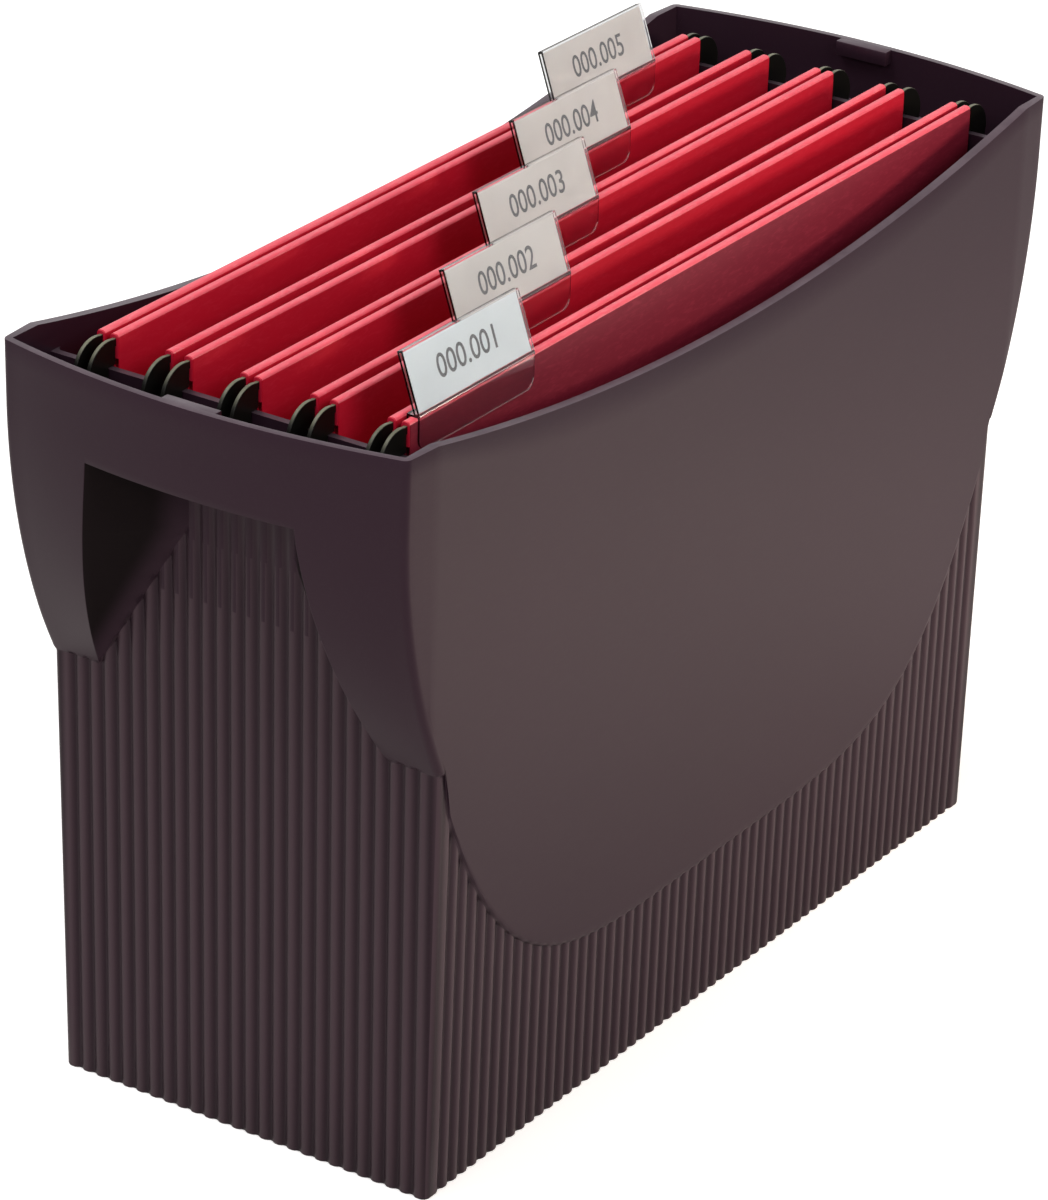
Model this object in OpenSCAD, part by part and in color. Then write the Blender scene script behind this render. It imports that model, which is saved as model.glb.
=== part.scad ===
// Portable file box with five hanging files.
// A one piece moulded box with a double walled flare at each end, an arched
// finger grip under each flare, ribbed walls and a smooth apron on both long
// sides. The files hang by blade hooks on the two rails inside.
// Millimetres. X runs along the box, Y across it, Z up.
// The origin is the middle of the base, on the surface it stands on.

/* [Box] */
// Distance between the two hanging rails, centre to centre
rail_spacing = 330; // [300:1:400]
// Height of the rail tops above the base
rail_height = 249.5; // [225:0.5:290]
// How far the flared rim stands above the rails
rim_above_rail = 10.5; // [6:0.5:16]
// Width across the rim
box_width = 150; // [140:1:190]
// Lean of each long side from base to rim
side_draft = 3.6; // [1:0.1:8]
// Lean of each end wall from base to rail
end_draft = 1.5; // [0.8:0.1:6]
// Thickness of end walls, flares and returns
wall = 2.5; // [1.6:0.1:3.5]
// Thickness of the long sides behind the apron
side_wall = 3.2; // [2.6:0.1:4.5]
// Thickness of the floor
floor_t = 2.8; // [1.8:0.1:4]
// Radius of the upright corners
corner_r = 2.6; // [1:0.1:4]

/* [Flared ends] */
// Reach of the flare past the rail centre, at the corners
flare_reach = 21; // [16:0.1:30]
// Extra bow of the flare at the middle of the end
flare_bow = 9; // [4:0.1:16]
// Height of the flare's lower tips
tip_height = 149; // [110:1:170]
// Drop from the rim to where the flare stands upright
flare_straight = 20; // [10:1:40]
// Least gap at the bottom of the trench inside the flare
trench_gap = 2; // [1.5:0.1:4]
// Length of the wing that turns in beside each corner
wing_length = 14.2; // [8:0.1:30]
// How far the wing turns in
wing_in = 0.8; // [0:0.1:2]
// Width of the thick pad under the middle of the end rim
pad_width = 20; // [10:1:40]
// Depth of that pad
pad_depth = 3.5; // [1:0.1:6]
// Height of that pad
pad_height = 5.2; // [2:0.1:9]

/* [Grip] */
// Height of the arch's top edge below the rail tops
grip_drop = 18.5; // [14:0.5:40]
// Half width of the arch in the flare, at its top
grip_half_top = 38.5; // [30:0.5:50]
// Half width of the arch at the tips
grip_half_tip = 54.5; // [48:0.5:66]
// Half width of the pocket at the end wall, at its top
pocket_half_top = 19.6; // [12:0.2:30]
// Height where the pocket's sides begin to spread, below the arch's top
pocket_spread_drop = 25; // [10:1:50]
// How far the pocket reaches up behind the arch's edge
pocket_rise = 5.5; // [3:0.5:8]

/* [Ribs and apron] */
// Distance from rib to rib
rib_pitch = 5.4; // [4:0.1:9]
// Width of the groove between two ribs
groove_width = 3; // [1.5:0.1:3.6]
// Depth of the groove
groove_depth = 0.9; // [0.4:0.1:1.3]
// Plain margin between the last groove and a corner
rib_margin = 4; // [3:0.5:10]
// Height of the apron's lower edge at mid length
apron_bottom = 53; // [20:1:90]
// How far the apron stands proud of the ribs
apron_proud = 0.8; // [0.3:0.1:1.2]
// Dip of the long rims at mid length
rim_dip = 17.4; // [6:0.2:22]

/* [Files] */
// Distance from file to file
file_pitch = 26.7; // [25:0.1:28]
// Offset of the row of files from the middle
file_shift = -1; // [-2:0.1:2]
// Spacing of a closed file's two rods
gap_closed = 5; // [4.8:0.1:6]
// Spacing of a loosely closed file's two rods
gap_loose = 7.2; // [6.2:0.1:8]
// Height of a file, from rod top to fold
file_height = 243.5; // [180:0.5:244]
// Rod top above the rail tops
rod_above_rail = 10; // [9.6:0.1:14]
// Gap between a rod's end and the rail centre
rod_end_gap = 2; // [1.8:0.1:6]
// Thickness of a rod
rod_t = 2.8; // [2.4:0.1:3.2]
// Height of a rod
rod_h = 7.6; // [7.2:0.1:9]
// Rounding of a rod's top
rod_round = 1; // [0.4:0.1:1.1]
// Thickness of the card
card_t = 0.5; // [0.4:0.05:0.8]
// How far the card stops short of the rod's end
card_inset = 2; // [1.5:0.1:12]

/* [Hooks] */
// Thickness of a hook blade
hook_t = 1.4; // [1:0.1:1.6]
// Radius of a hook's back
hook_r = 10; // [9:0.1:12]
// Rise of a hook's back above the rod top, below it where negative
hook_rise = -0.8; // [-1:0.1:1.5]
// Reach of a hook's tip below the rail top
hook_drop = 6; // [4:0.1:7]
// Length of the tongue inside the rod
tongue_length = 14; // [8:1:30]
// Clearance between a hook and the rail
hook_clear = 0.4; // [0.35:0.05:0.8]

/* [Tabs] */
// Length of a tab
tab_length = 60; // [40:1:64]
// Step from one tab to the next
tab_step = 58; // [40:1:62]
// Height of the label window
tab_height = 20.3; // [14:0.1:26]
// Lean of the label window
tab_lean = 19; // [0:1:30]
// Thickness of the clear plastic
tab_t = 0.7; // [0.5:0.05:0.9]
// Clearance between tab and rod
tab_clear = 0.25; // [0.2:0.05:0.4]
// Drop of the front skirt below the rod top
skirt_drop = 10.5; // [6:0.1:14]
// Thickness of a label
label_t = 0.35; // [0.2:0.05:0.5]
// Clearance round a label
label_clear = 0.15; // [0.1:0.05:0.3]

/* [Hidden] */
$fn = 48;
half_rail = rail_spacing / 2;
rim_height = rail_height + rim_above_rail;
flare_full = rim_height - flare_straight;
corner_x = half_rail + flare_reach;
crease_x = corner_x - wing_length;
end_lean = end_draft / rail_height;
side_lean = side_draft / rim_height;
arch_top = rail_height - grip_drop;
pocket_top = arch_top + pocket_rise;
spread_top = arch_top - pocket_spread_drop;
ledge_top = pocket_top + wall;
rod_top = rail_height + rod_above_rail;
rod_half = half_rail - rod_end_gap;
rod_channel_w = hook_t + 0.2;
rod_channel_h = 2.8;
rod_roof = 1;
card_grip = 2.8;
fold_bottom = rod_top - file_height;
slot_t = label_t + 2 * label_clear;
holder_t = slot_t + 2 * tab_t;
// Small step that keeps the faces of neighbouring cuts apart
mould_step = 0.15;
// Least turn of a wing, and the room kept round the pocket as a factor
least_turn = 0.08;
pocket_room = 1.2;
arch_power = 1.25;
apron_power = 4.7;
end_steps = 14;
flare_steps = 10;
apron_steps = 26;
rim_steps = 16;
files = [1, 2, 3, 4, 5];

// Outer face of the end wall at height z
function wall_x(z) = half_rail + wall / 2 - end_lean * (rail_height - z);

// Outer face of the long side at height z
function side_y(z) = box_width / 2 - side_lean * (rim_height - z);

// How far up the flare height z lies, from 0 at the tips to 1 where it is upright
function flare_part(z) = min(1, max(0, (z - tip_height) / (flare_full - tip_height)));

// Corner of the flare at height z
function flare_x(z) = wall_x(z) + (corner_x - wall_x(z)) * (1 - pow(1 - flare_part(z), 2));

// Half width at the corner, where the wing has turned in
function wing_y(z) = side_y(z) - max(least_turn, wing_in * (flare_x(z) - crease_x) / wing_length);

// Outer face of the bowed end at y and z
function end_x(y, z) =
    flare_x(z) + flare_bow * (1 - pow(1 - flare_part(z), 4)) * (1 - pow(y / wing_y(z), 2));

// Half width of the arch on the flare's outer face
function arch_half(z) =
    grip_half_top + (grip_half_tip - grip_half_top)
    * pow(min(1, max(0, (arch_top - z) / (arch_top - tip_height))), arch_power);

// Half width of the pocket at the end wall
function pocket_half(z) =
    z > spread_top ? pocket_half_top
    : pocket_half_top + (grip_half_tip - pocket_half_top) * min(1, (spread_top - z) / (spread_top - tip_height));

// Half width of the pocket, carried on in a straight line to the plane at x
function pocket_half_at(x, z) =
    let (reach = max(0.5, end_x(arch_half(z), z) - wall_x(z)))
    pocket_half(z) + (arch_half(z) - pocket_half(z)) * (x - wall_x(z)) / reach;

// Outline of one end at height z, from its front crease round to its rear crease
function end_outline(z) =
    let (yc = wing_y(z) - corner_r, xc = end_x(yc, z) - corner_r, xk = min(crease_x, xc - 1))
    concat(
        [[xk, -side_y(z), z]],
        [for (a = [-90:30:-1]) [xc + corner_r * cos(a), -yc + corner_r * sin(a), z]],
        [for (i = [0:end_steps]) let (y = yc * (2 * i / end_steps - 1)) [end_x(y, z), y, z]],
        [for (a = [30:30:90]) [xc + corner_r * cos(a), yc + corner_r * sin(a), z]],
        [[xk, side_y(z), z]]
    );

// The same points turned to the other end
function turned(points) = [for (p = points) [-p.x, -p.y, p.z]];

// Inner face of the flare at height z, between the insides of the long walls
function flare_inside(z, half, inset = 0) =
    [for (i = [0:end_steps]) let (y = half * (2 * i / end_steps - 1)) [end_x(y, z) - wall - inset, y, z]];

// Lower edge of the apron at x
function apron_z(x) =
    apron_bottom + (tip_height - apron_bottom) * pow(min(1, abs(x) / wall_x(tip_height)), apron_power);

// Skin through rings of points that run counter-clockwise from above
module loft(rings) {
    n = len(rings[0]);
    m = len(rings);
    points = [for (r = rings) each r];
    sides = [
        for (k = [0:m - 2]) for (i = [0:n - 1])
            let (a = k * n + i, b = k * n + (i + 1) % n)
            each [[a, a + n, b + n], [a, b + n, b]]
    ];
    bottom = [for (i = [0:n - 1]) i];
    top = [for (i = [n - 1:-1:0]) (m - 1) * n + i];
    polyhedron(points, concat([bottom], sides, [top]));
}

// Repeats its children at the other end
module both_ends() {
    children();
    rotate([0, 0, 180]) children();
}

// Outer form of the box with its flares, without ribs
module box_outside() {
    levels = concat(
        [0],
        [for (i = [0:flare_steps]) tip_height + (flare_full - tip_height) * i / flare_steps],
        [rim_height]
    );
    loft([for (z = levels) concat(end_outline(z), turned(end_outline(z)))]);
}

// Space inside the box between the end walls
module box_inside() {
    r = corner_r;
    levels = [floor_t, rim_height + 3];
    loft([
        for (z = levels)
            let (x = wall_x(z) - wall - r, y = side_y(z) - side_wall - r)
            [for (q = [[1, -1, -90], [1, 1, 0], [-1, 1, 90], [-1, -1, 180]])
                for (a = [0:30:90])
                    [q.x * x + r * cos(q.z + a), q.y * y + r * sin(q.z + a), z]]
    ]);
}

// Open space above the rails, out to the inside of both flares
module rim_opening() {
    loft([
        for (z = [rail_height, rim_height + 2])
            let (line = flare_inside(z, side_y(z) - side_wall - 2 * mould_step, mould_step))
            concat(line, turned(line))
    ]);
}

// Half widths of the pocket as a ring of four points, grown by some thickness
function pocket_ring(z, grow, from) =
    let (
        x = end_x(arch_half(z), z) + pocket_room * flare_bow,
        a = pocket_half(z) + grow,
        b = min(pocket_half_at(x, z), side_y(0)) + grow
    )
    [[wall_x(z) + from, -a, z], [x, -b, z], [x, b, z], [wall_x(z) + from, a, z]];

// Heights at which the pocket's sides are laid out
function pocket_levels(top) =
    concat([for (i = [0:10]) tip_height + (arch_top - tip_height) * i / 10], top > arch_top ? [top] : []);

// Trench between end wall and flare, with the block that houses the pocket left in
module trench() {
    start = [for (z = [tip_height:0.5:flare_full]) if (flare_x(z) - wall - wall_x(z) > trench_gap) z][0];
    levels = concat([for (i = [0:7]) start + (flare_full - start) * i / 7], [rail_height + 0.5]);
    difference() {
        loft([
            for (z = levels)
                let (half = side_y(z) - side_wall - mould_step)
                concat(flare_inside(z, half), [[wall_x(z), half, z], [wall_x(z), -half, z]])
        ]);
        loft([for (z = pocket_levels(ledge_top)) pocket_ring(z, pocket_room * wall, -1)]);
    }
}

// Arched cut through the flare and the finger pocket behind it
module grip() {
    loft([for (z = pocket_levels(arch_top)) pocket_ring(z, 0, 0)]);
    loft([
        for (z = [arch_top - 1, pocket_top])
            concat(
                flare_inside(z, arch_half(z), mould_step),
                [for (s = [1, -1]) [wall_x(z) + 2 * mould_step, s * (pocket_half(z) + mould_step), z]]
            )
    ]);
}

// Row of grooves along a wall of the given half length, as a flat outline.
// The land lies between the grooves, and the outline ends proud of the wall.
module groove_row(half, land, proud) {
    count = floor((2 * (half - rib_margin) + rib_pitch - groove_width) / rib_pitch);
    first = -(count - 1) / 2 * rib_pitch;
    wave = [
        for (i = [0:count - 1]) for (k = [0:3])
            [
                first + i * rib_pitch - groove_width / 2 * cos(60 * k),
                k % 3 == 0 ? land : -groove_depth
            ]
    ];
    polygon(concat([[-half - 20, proud], [-half - 20, land]], wave, [[half + 20, land], [half + 20, proud]]));
}

// Stock to cut from a long side: the ribbed field below the apron
module side_ribs() {
    x_end = wall_x(tip_height);
    far = corner_x + flare_bow + 5;
    edge = [for (i = [-apron_steps:apron_steps]) let (x = x_end * sin(90 * i / apron_steps)) [x, apron_z(x)]];
    intersection() {
        translate([0, side_y(0) - apron_proud, 0])
            rotate([-atan(side_lean), 0, 0])
                translate([0, 0, -5])
                    linear_extrude(tip_height + 15)
                        groove_row(wall_x(0), 0, 8);
        rotate([90, 0, 0])
            linear_extrude(2 * box_width, center = true)
                polygon(concat([[-far, -2], [-far, tip_height]], edge, [[far, tip_height], [far, -2]]));
    }
}

// Stock to cut from an end: grooves up to the flare and, inside the arch, up to the pocket
module end_ribs() {
    h = side_y(tip_height) + 5;
    rise = [for (i = [0:6]) tip_height + (spread_top - tip_height) * i / 6];
    left = [for (z = rise) [-pocket_half(z), z]];
    right = [for (i = [6:-1:0]) [pocket_half(rise[i]), rise[i]]];
    intersection() {
        translate([wall_x(0), 0, 0])
            rotate([0, atan(end_lean), 0])
                rotate([0, 0, -90])
                    translate([0, 0, -5])
                        linear_extrude(pocket_top + 10)
                            groove_row(side_y(0) - apron_proud, 0.05, 0.3);
        rotate([90, 0, 90])
            linear_extrude(2 * corner_x)
                polygon(concat(
                    [[-h, -2], [-h, tip_height]], left,
                    [[-pocket_half_top, arch_top - mould_step], [pocket_half_top, arch_top - mould_step]],
                    right, [[h, tip_height], [h, -2]]
                ));
    }
}

// Shallow dip cut from both long rims, from crease to crease
module rim_cut() {
    line = [
        for (i = [-rim_steps:rim_steps])
            [crease_x * i / rim_steps, rim_height - rim_dip * (1 - pow(i / rim_steps, 2))]
    ];
    rotate([90, 0, 0])
        linear_extrude(2 * box_width, center = true)
            polygon(concat([[-crease_x, rim_height + 5]], line, [[crease_x, rim_height + 5]]));
}

// Moulded box: ribbed walls, apron, flares, grips and rails in one piece
module box() {
    color([0.23, 0.18, 0.22]) {
        difference() {
            box_outside();
            box_inside();
            rim_opening();
            rim_cut();
            both_ends() {
                trench();
                grip();
                end_ribs();
            }
            side_ribs();
            mirror([0, 1, 0]) side_ribs();
        }
        both_ends()
            translate([end_x(0, rim_height) - wall - pad_depth, -pad_width / 2, rim_height - pad_height])
                cube([pad_depth + wall / 2, pad_width, pad_height]);
    }
}

// Place of a file across the box
function file_y(n) = (n - 3) * file_pitch + file_shift;

// Spacing of a file's rods: every second file hangs loosely closed
function file_gap(n) = n % 2 == 0 ? gap_loose : gap_closed;

// Place of a file's tab along its rod
function tab_x(n) = -rod_half + tab_clear * 10 + tab_length / 2 + 1.5 + (n - 1) * tab_step;

// Section of a rod: rounded top, channel for the hook's tongue, slot for the card
module rod_section() {
    difference() {
        union() {
            translate([-rod_t / 2, -rod_h]) square([rod_t, rod_h - rod_round]);
            translate([-rod_t / 2 + rod_round, -rod_h]) square([rod_t - 2 * rod_round, rod_h]);
            for (s = [-1, 1])
                translate([s * (rod_t / 2 - rod_round), -rod_round]) circle(rod_round);
        }
        translate([-rod_channel_w / 2, -rod_roof - rod_channel_h]) square([rod_channel_w, rod_channel_h]);
        translate([-card_t / 2 - 0.05, -rod_h - 1]) square([card_t + 0.1, card_grip + 1]);
    }
}

// Rod along the top of one leaf
module rod(n, side) {
    color([0.85, 0.2, 0.27])
        translate([0, file_y(n) + side * file_gap(n) / 2, rod_top])
            rotate([90, 0, 90])
                linear_extrude(2 * rod_half, center = true)
                    rod_section();
}

// Flat outline of one blade hook at the right hand end
module hook_outline() {
    top = rod_top + hook_rise;
    back_x = half_rail + wall / 2;
    inside = half_rail + wall / 2 + hook_clear;
    tip = rail_height - hook_drop;
    difference() {
        union() {
            intersection() {
                translate([back_x, top - hook_r]) circle(hook_r);
                translate([rod_half + 0.2, top - hook_r]) square([2 * hook_r, hook_r]);
            }
            translate([0, top - hook_r])
                polygon([
                    [inside - 1, 0],
                    [back_x + hook_r, 0],
                    [back_x + hook_r - 0.6, (tip - top + hook_r) * 0.55],
                    [back_x + hook_r - 3, tip - top + hook_r],
                    [inside + 2.4, tip - top + hook_r],
                    [inside - 1, (tip - top + hook_r) * 0.45]
                ]);
            translate([rod_half - tongue_length, rod_top - rod_roof - rod_channel_h + 0.1])
                square([tongue_length + 1, rod_channel_h - 0.2]);
        }
        translate([rod_half - 1, tip - 5])
            square([inside - rod_half + 1, rail_height + hook_clear - tip + 5]);
    }
}

// Pair of hooks, one in each end of a rod
module hooks(n, side) {
    color([0.09, 0.09, 0.09])
        translate([0, file_y(n) + side * file_gap(n) / 2, 0])
            both_ends()
                rotate([90, 0, 0])
                    linear_extrude(hook_t, center = true)
                        hook_outline();
}

// Height of the crease round which the front leaf swings
function crease_z(n) = fold_bottom + card_t / 2 + file_gap(n) / 2;

// Rear leaf of a file with the rounded fold at its foot
module rear_card(n) {
    g = file_gap(n) / 2;
    z = crease_z(n);
    top = rod_top - rod_h + card_grip - 0.1;
    color([0.72, 0.08, 0.18])
        translate([0, file_y(n), 0])
            rotate([90, 0, 90])
                linear_extrude(2 * (rod_half - card_inset), center = true)
                    union() {
                        translate([g - card_t / 2, z]) square([card_t, top - z]);
                        difference() {
                            translate([0, z]) circle(g + card_t / 2);
                            translate([0, z]) circle(g - card_t / 2);
                            translate([-2 * g, z]) square([4 * g, 4 * g]);
                        }
                    }
}

// Front leaf of a file, from the crease up into its rod
module front_card(n) {
    g = file_gap(n) / 2;
    z = crease_z(n) + 0.3;
    top = rod_top - rod_h + card_grip - 0.1;
    color([0.72, 0.08, 0.18])
        translate([-rod_half + card_inset, file_y(n) - g - card_t / 2, z])
            cube([2 * (rod_half - card_inset), card_t, top - z]);
}

// Section of a tab: skirt, bridge and back leg over the rod, leaning window with a slot
module tab_section() {
    out = rod_t / 2 + tab_clear + tab_t;
    translate([-out, -skirt_drop]) square([tab_t, skirt_drop + tab_clear + tab_t]);
    translate([-out, tab_clear]) square([2 * out, tab_t]);
    translate([out - tab_t, -4.2]) square([tab_t, 4.2 + tab_clear + tab_t]);
    translate([-out, tab_clear + tab_t])
        rotate(-tab_lean)
            difference() {
                square([holder_t, tab_height]);
                translate([tab_t, tab_t]) square([slot_t, tab_height - 2 * tab_t]);
            }
}

// Clear tab that clips over the front rod and slides along it
module tab(n) {
    r = 2;
    low = -skirt_drop;
    high = tab_clear + tab_t + tab_height;
    color([0.9, 0.92, 0.95, 0.5])
        translate([tab_x(n), file_y(n) - file_gap(n) / 2, rod_top])
            intersection() {
                rotate([90, 0, 90])
                    linear_extrude(tab_length, center = true)
                        tab_section();
                rotate([90, 0, 0])
                    linear_extrude(60, center = true)
                        union() {
                            translate([-tab_length / 2, low + 4]) square([tab_length, high - low - 4 - r]);
                            translate([-tab_length / 2 + r, high - r - 1]) square([tab_length - 2 * r, r + 1]);
                            translate([-tab_length / 2 + 4, low]) square([tab_length - 8, 5]);
                            for (s = [-1, 1]) {
                                translate([s * (tab_length / 2 - r), high - r]) circle(r);
                                translate([s * (tab_length / 2 - 4), low + 4]) circle(4);
                            }
                        }
            }
}

// Paper label in the tab's slot
module label(n) {
    out = rod_t / 2 + tab_clear + tab_t;
    color([0.93, 0.92, 0.9])
        translate([tab_x(n), file_y(n) - file_gap(n) / 2, rod_top])
            rotate([90, 0, 90])
                linear_extrude(tab_length - 2, center = true)
                    translate([-out, tab_clear + tab_t])
                        rotate(-tab_lean)
                            translate([tab_t + label_clear, tab_t + label_clear])
                                square([label_t, tab_height - 2 * tab_t - 2 * label_clear]);
}

box();
for (n = files) {
    rear_card(n);
    front_card(n);
    rod(n, 1);
    rod(n, -1);
    hooks(n, 1);
    hooks(n, -1);
    tab(n);
    label(n);
}
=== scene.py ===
"""Portable file box with five hanging files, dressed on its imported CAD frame.

Lengths are millimetres while a piece is laid out, and become metres when its mesh is made.
The frame is the CAD's: X along the box, Y across it, Z up, origin in the middle of the base.
MM is a millimetre in metres, SAME the most that equal places differ by in millimetres, and TURN
the angle between the points of a rounded corner in degrees. FILES is the number of hanging files.
"""
import logging
import math
from dataclasses import dataclass, replace
from enum import Enum

import bmesh
import bpy
from mathutils import Matrix, Vector


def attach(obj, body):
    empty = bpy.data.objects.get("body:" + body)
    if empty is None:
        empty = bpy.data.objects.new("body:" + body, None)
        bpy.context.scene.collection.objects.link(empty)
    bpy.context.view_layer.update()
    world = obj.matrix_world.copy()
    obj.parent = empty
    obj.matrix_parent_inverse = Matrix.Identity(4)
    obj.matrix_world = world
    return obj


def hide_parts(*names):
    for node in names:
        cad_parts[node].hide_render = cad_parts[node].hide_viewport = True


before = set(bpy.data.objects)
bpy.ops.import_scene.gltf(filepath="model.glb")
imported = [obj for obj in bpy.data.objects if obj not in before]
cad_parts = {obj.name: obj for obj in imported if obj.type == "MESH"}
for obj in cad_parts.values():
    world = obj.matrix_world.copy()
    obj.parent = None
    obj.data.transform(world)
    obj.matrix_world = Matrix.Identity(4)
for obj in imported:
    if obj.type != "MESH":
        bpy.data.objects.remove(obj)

LOG = logging.getLogger("file_box")
MM = 0.001
SAME = 1e-6
TURN = 15
FILES = 5
Point = tuple[float, float, float]
Colour = tuple[float, float, float]
Span = tuple[float, float]
Line = list[Point]
WHITE = (1.0, 1.0, 1.0)


def clamped(t: float) -> float:
    """Keeps t between 0 and 1."""
    return min(1.0, max(0.0, t))


def smooth(t: float) -> float:
    """Eases from 0 to 1 as t goes from 0 to 1."""
    t = clamped(t)
    return t * t * (3 - 2 * t)


def between(a: float, b: float, t: float) -> float:
    """Gives the value at share t of the way from a to b."""
    return a + (b - a) * t


def spread(a: float, b: float, steps: int) -> list[float]:
    """Gives evenly spaced values from a to b, both included."""
    return [between(a, b, i / steps) for i in range(steps + 1)]


def blend(a: Point, b: Point, t: float) -> Point:
    """Gives the point at share t of the way from a to b."""
    return (between(a[0], b[0], t), between(a[1], b[1], t), between(a[2], b[2], t))


def turned(rings: list[Line], sx: int, sy: int = 1) -> list[Line]:
    """Gives rings by the signs sx and sy: as they are, or mirrored along X or Y."""
    return [[(sx * x, sy * y, z) for x, y, z in ring] for ring in rings]


def circle_point(centre: Span, r: float, angle: float) -> Span:
    """Point of a circle at an angle in degrees."""
    turn = math.radians(angle)
    return centre[0] + r * math.cos(turn), centre[1] + r * math.sin(turn)


def rounded_ring(x: float, y: float, z: float, r: float) -> Line:
    """Lays out a level rectangle with rounded corners round the Z axis.

    Args:
        x: Its half length.
        y: Its half width.
        z: Its height.
        r: Radius of its corners.

    Returns:
        Its points in order.
    """
    ring = []
    for sx, sy, start in ((1, -1, -90), (1, 1, 0), (-1, 1, 90), (-1, -1, 180)):
        for a in range(start, start + 91, TURN):
            ring.append((*circle_point((sx * (x - r), sy * (y - r)), r, a), z))
    return ring


def placed(name: str, data: bpy.types.ID) -> bpy.types.Object:
    """Puts a mesh, curve, camera or lamp in the scene.

    Args:
        name: Name of the object.
        data: Its data.

    Returns:
        The object.
    """
    made = bpy.data.objects.new(name, data)
    bpy.context.scene.collection.objects.link(made)
    return made


def coat(piece: bpy.types.Object, *finishes: bpy.types.Material) -> None:
    """Gives a piece these finishes in place of the ones it has.

    Args:
        piece: The piece.
        finishes: Its new materials in order.
    """
    piece.data.materials.clear()
    for finish in finishes:
        piece.data.materials.append(finish)


class Skin:
    """Mesh under construction: faces whose equal corners are one vertex."""

    grain = 1000

    def __init__(self) -> None:
        """Starts with no corners and no faces."""
        self.points: Line = []
        self.numbers: dict[tuple[int, ...], int] = {}
        self.faces: list[tuple[int, ...]] = []
        self.rounded: set[tuple[int, int]] = set()

    def number(self, p: Point) -> int:
        """Gives the number of the vertex at p.

        Args:
            p: Place in millimetres.

        Returns:
            Its index, new or found again within one part in grain of a millimetre.
        """
        key = tuple(round(c * self.grain) for c in p)
        if key not in self.numbers:
            self.numbers[key] = len(self.points)
            self.points.append(p)
        return self.numbers[key]

    def face(self, corners: Line) -> None:
        """Adds one face, without corners that fall together.

        Args:
            corners: The corners in order.
        """
        ring: list[int] = []
        for p in corners:
            n = self.number(p)
            if n not in ring:
                ring.append(n)
        if len(ring) > 2:
            self.faces.append(tuple(ring))

    def grid(self, rows: list[Line]) -> None:
        """Adds the faces between rows of points.

        Args:
            rows: Rows with equally many points.
        """
        for low, high in zip(rows, rows[1:]):
            for i in range(len(low) - 1):
                self.face([low[i], low[i + 1], high[i + 1], high[i]])

    def loft(self, rings: list[Line]) -> None:
        """Adds a closed body through rings of points.

        Args:
            rings: Closed rings with equally many points, from one end to the other.
        """
        self.grid([ring + ring[:1] for ring in rings])
        self.face(rings[0])
        self.face(rings[-1])

    def round_off(self, line: Line) -> None:
        """Marks the edges along a line of points, which are rounded later.

        Args:
            line: Points that are corners of faces already.
        """
        numbers = [self.number(p) for p in line]
        for a, b in zip(numbers, numbers[1:]):
            if a != b:
                self.rounded.add((min(a, b), max(a, b)))

    def mirrored(self, axis: int) -> None:
        """Adds the mirror image of all faces across a plane through the origin.

        Args:
            axis: 0 to mirror X, 1 to mirror Y.
        """
        image = []
        for p in list(self.points):
            q = list(p)
            q[axis] = -q[axis]
            image.append(self.number((q[0], q[1], q[2])))
        self.faces += [tuple(image[n] for n in reversed(ring)) for ring in self.faces]
        pairs = [(image[a], image[b]) for a, b in self.rounded]
        self.rounded |= {(min(a, b), max(a, b)) for a, b in pairs}

    def build(self, name: str) -> bpy.types.Object:
        """Makes the object.

        Args:
            name: Name of the piece.

        Returns:
            The object, with faces turned outwards and the marked edges weighted for rounding.
        """
        mesh = bpy.data.meshes.new(name)
        mesh.from_pydata([[c * MM for c in p] for p in self.points], [], self.faces)
        work = bmesh.new()
        work.from_mesh(mesh)
        work.edges.ensure_lookup_table()
        work.verts.ensure_lookup_table()
        weight = work.edges.layers.float.new("bevel_weight_edge")
        for a, b in self.rounded:
            edge = work.edges.get((work.verts[a], work.verts[b]))
            if edge is not None:
                edge[weight] = 1.0
        bmesh.ops.recalc_face_normals(work, faces=work.faces)
        work.to_mesh(mesh)
        work.free()
        return placed(name, mesh)


def lofted(name: str, rings: list[Line]) -> bpy.types.Object:
    """Makes a closed body through rings of points.

    Args:
        name: Name of the object.
        rings: Its rings, from one end to the other.

    Returns:
        The object.
    """
    skin = Skin()
    skin.loft(rings)
    return skin.build(name)


def settle(piece: bpy.types.Object) -> None:
    """Turns a piece's modifiers into plain mesh.

    Args:
        piece: The piece, whose modifiers are used up.
    """
    graph = bpy.context.evaluated_depsgraph_get()
    mesh = bpy.data.meshes.new_from_object(piece.evaluated_get(graph))
    piece.modifiers.clear()
    piece.data = mesh


def bevel(piece: bpy.types.Object, width: float, marked_only: bool, angle: float = 40) -> None:
    """Rounds a piece's edges with two faces across each.

    Args:
        piece: The piece.
        width: Width of the rounding in millimetres.
        marked_only: True for the marked edges, False for every edge sharper than the angle.
        angle: That angle in degrees.
    """
    tool = piece.modifiers.new("rounding", "BEVEL")
    tool.width = width * MM
    tool.segments = 2
    tool.limit_method = "WEIGHT" if marked_only else "ANGLE"
    tool.angle_limit = math.radians(angle)
    tool.use_clamp_overlap = True
    settle(piece)


def carve(piece: bpy.types.Object, other: bpy.types.Object, join: bool = False) -> None:
    """Cuts one closed body out of another, or joins it on, and deletes the second.

    Args:
        piece: The body that is changed.
        other: The cutter or the added body.
        join: True to join the second body on.
    """
    cut = piece.modifiers.new("cut", "BOOLEAN")
    cut.operation = "UNION" if join else "DIFFERENCE"
    cut.solver = "MANIFOLD"
    cut.object = other
    settle(piece)
    bpy.data.objects.remove(other)


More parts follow.
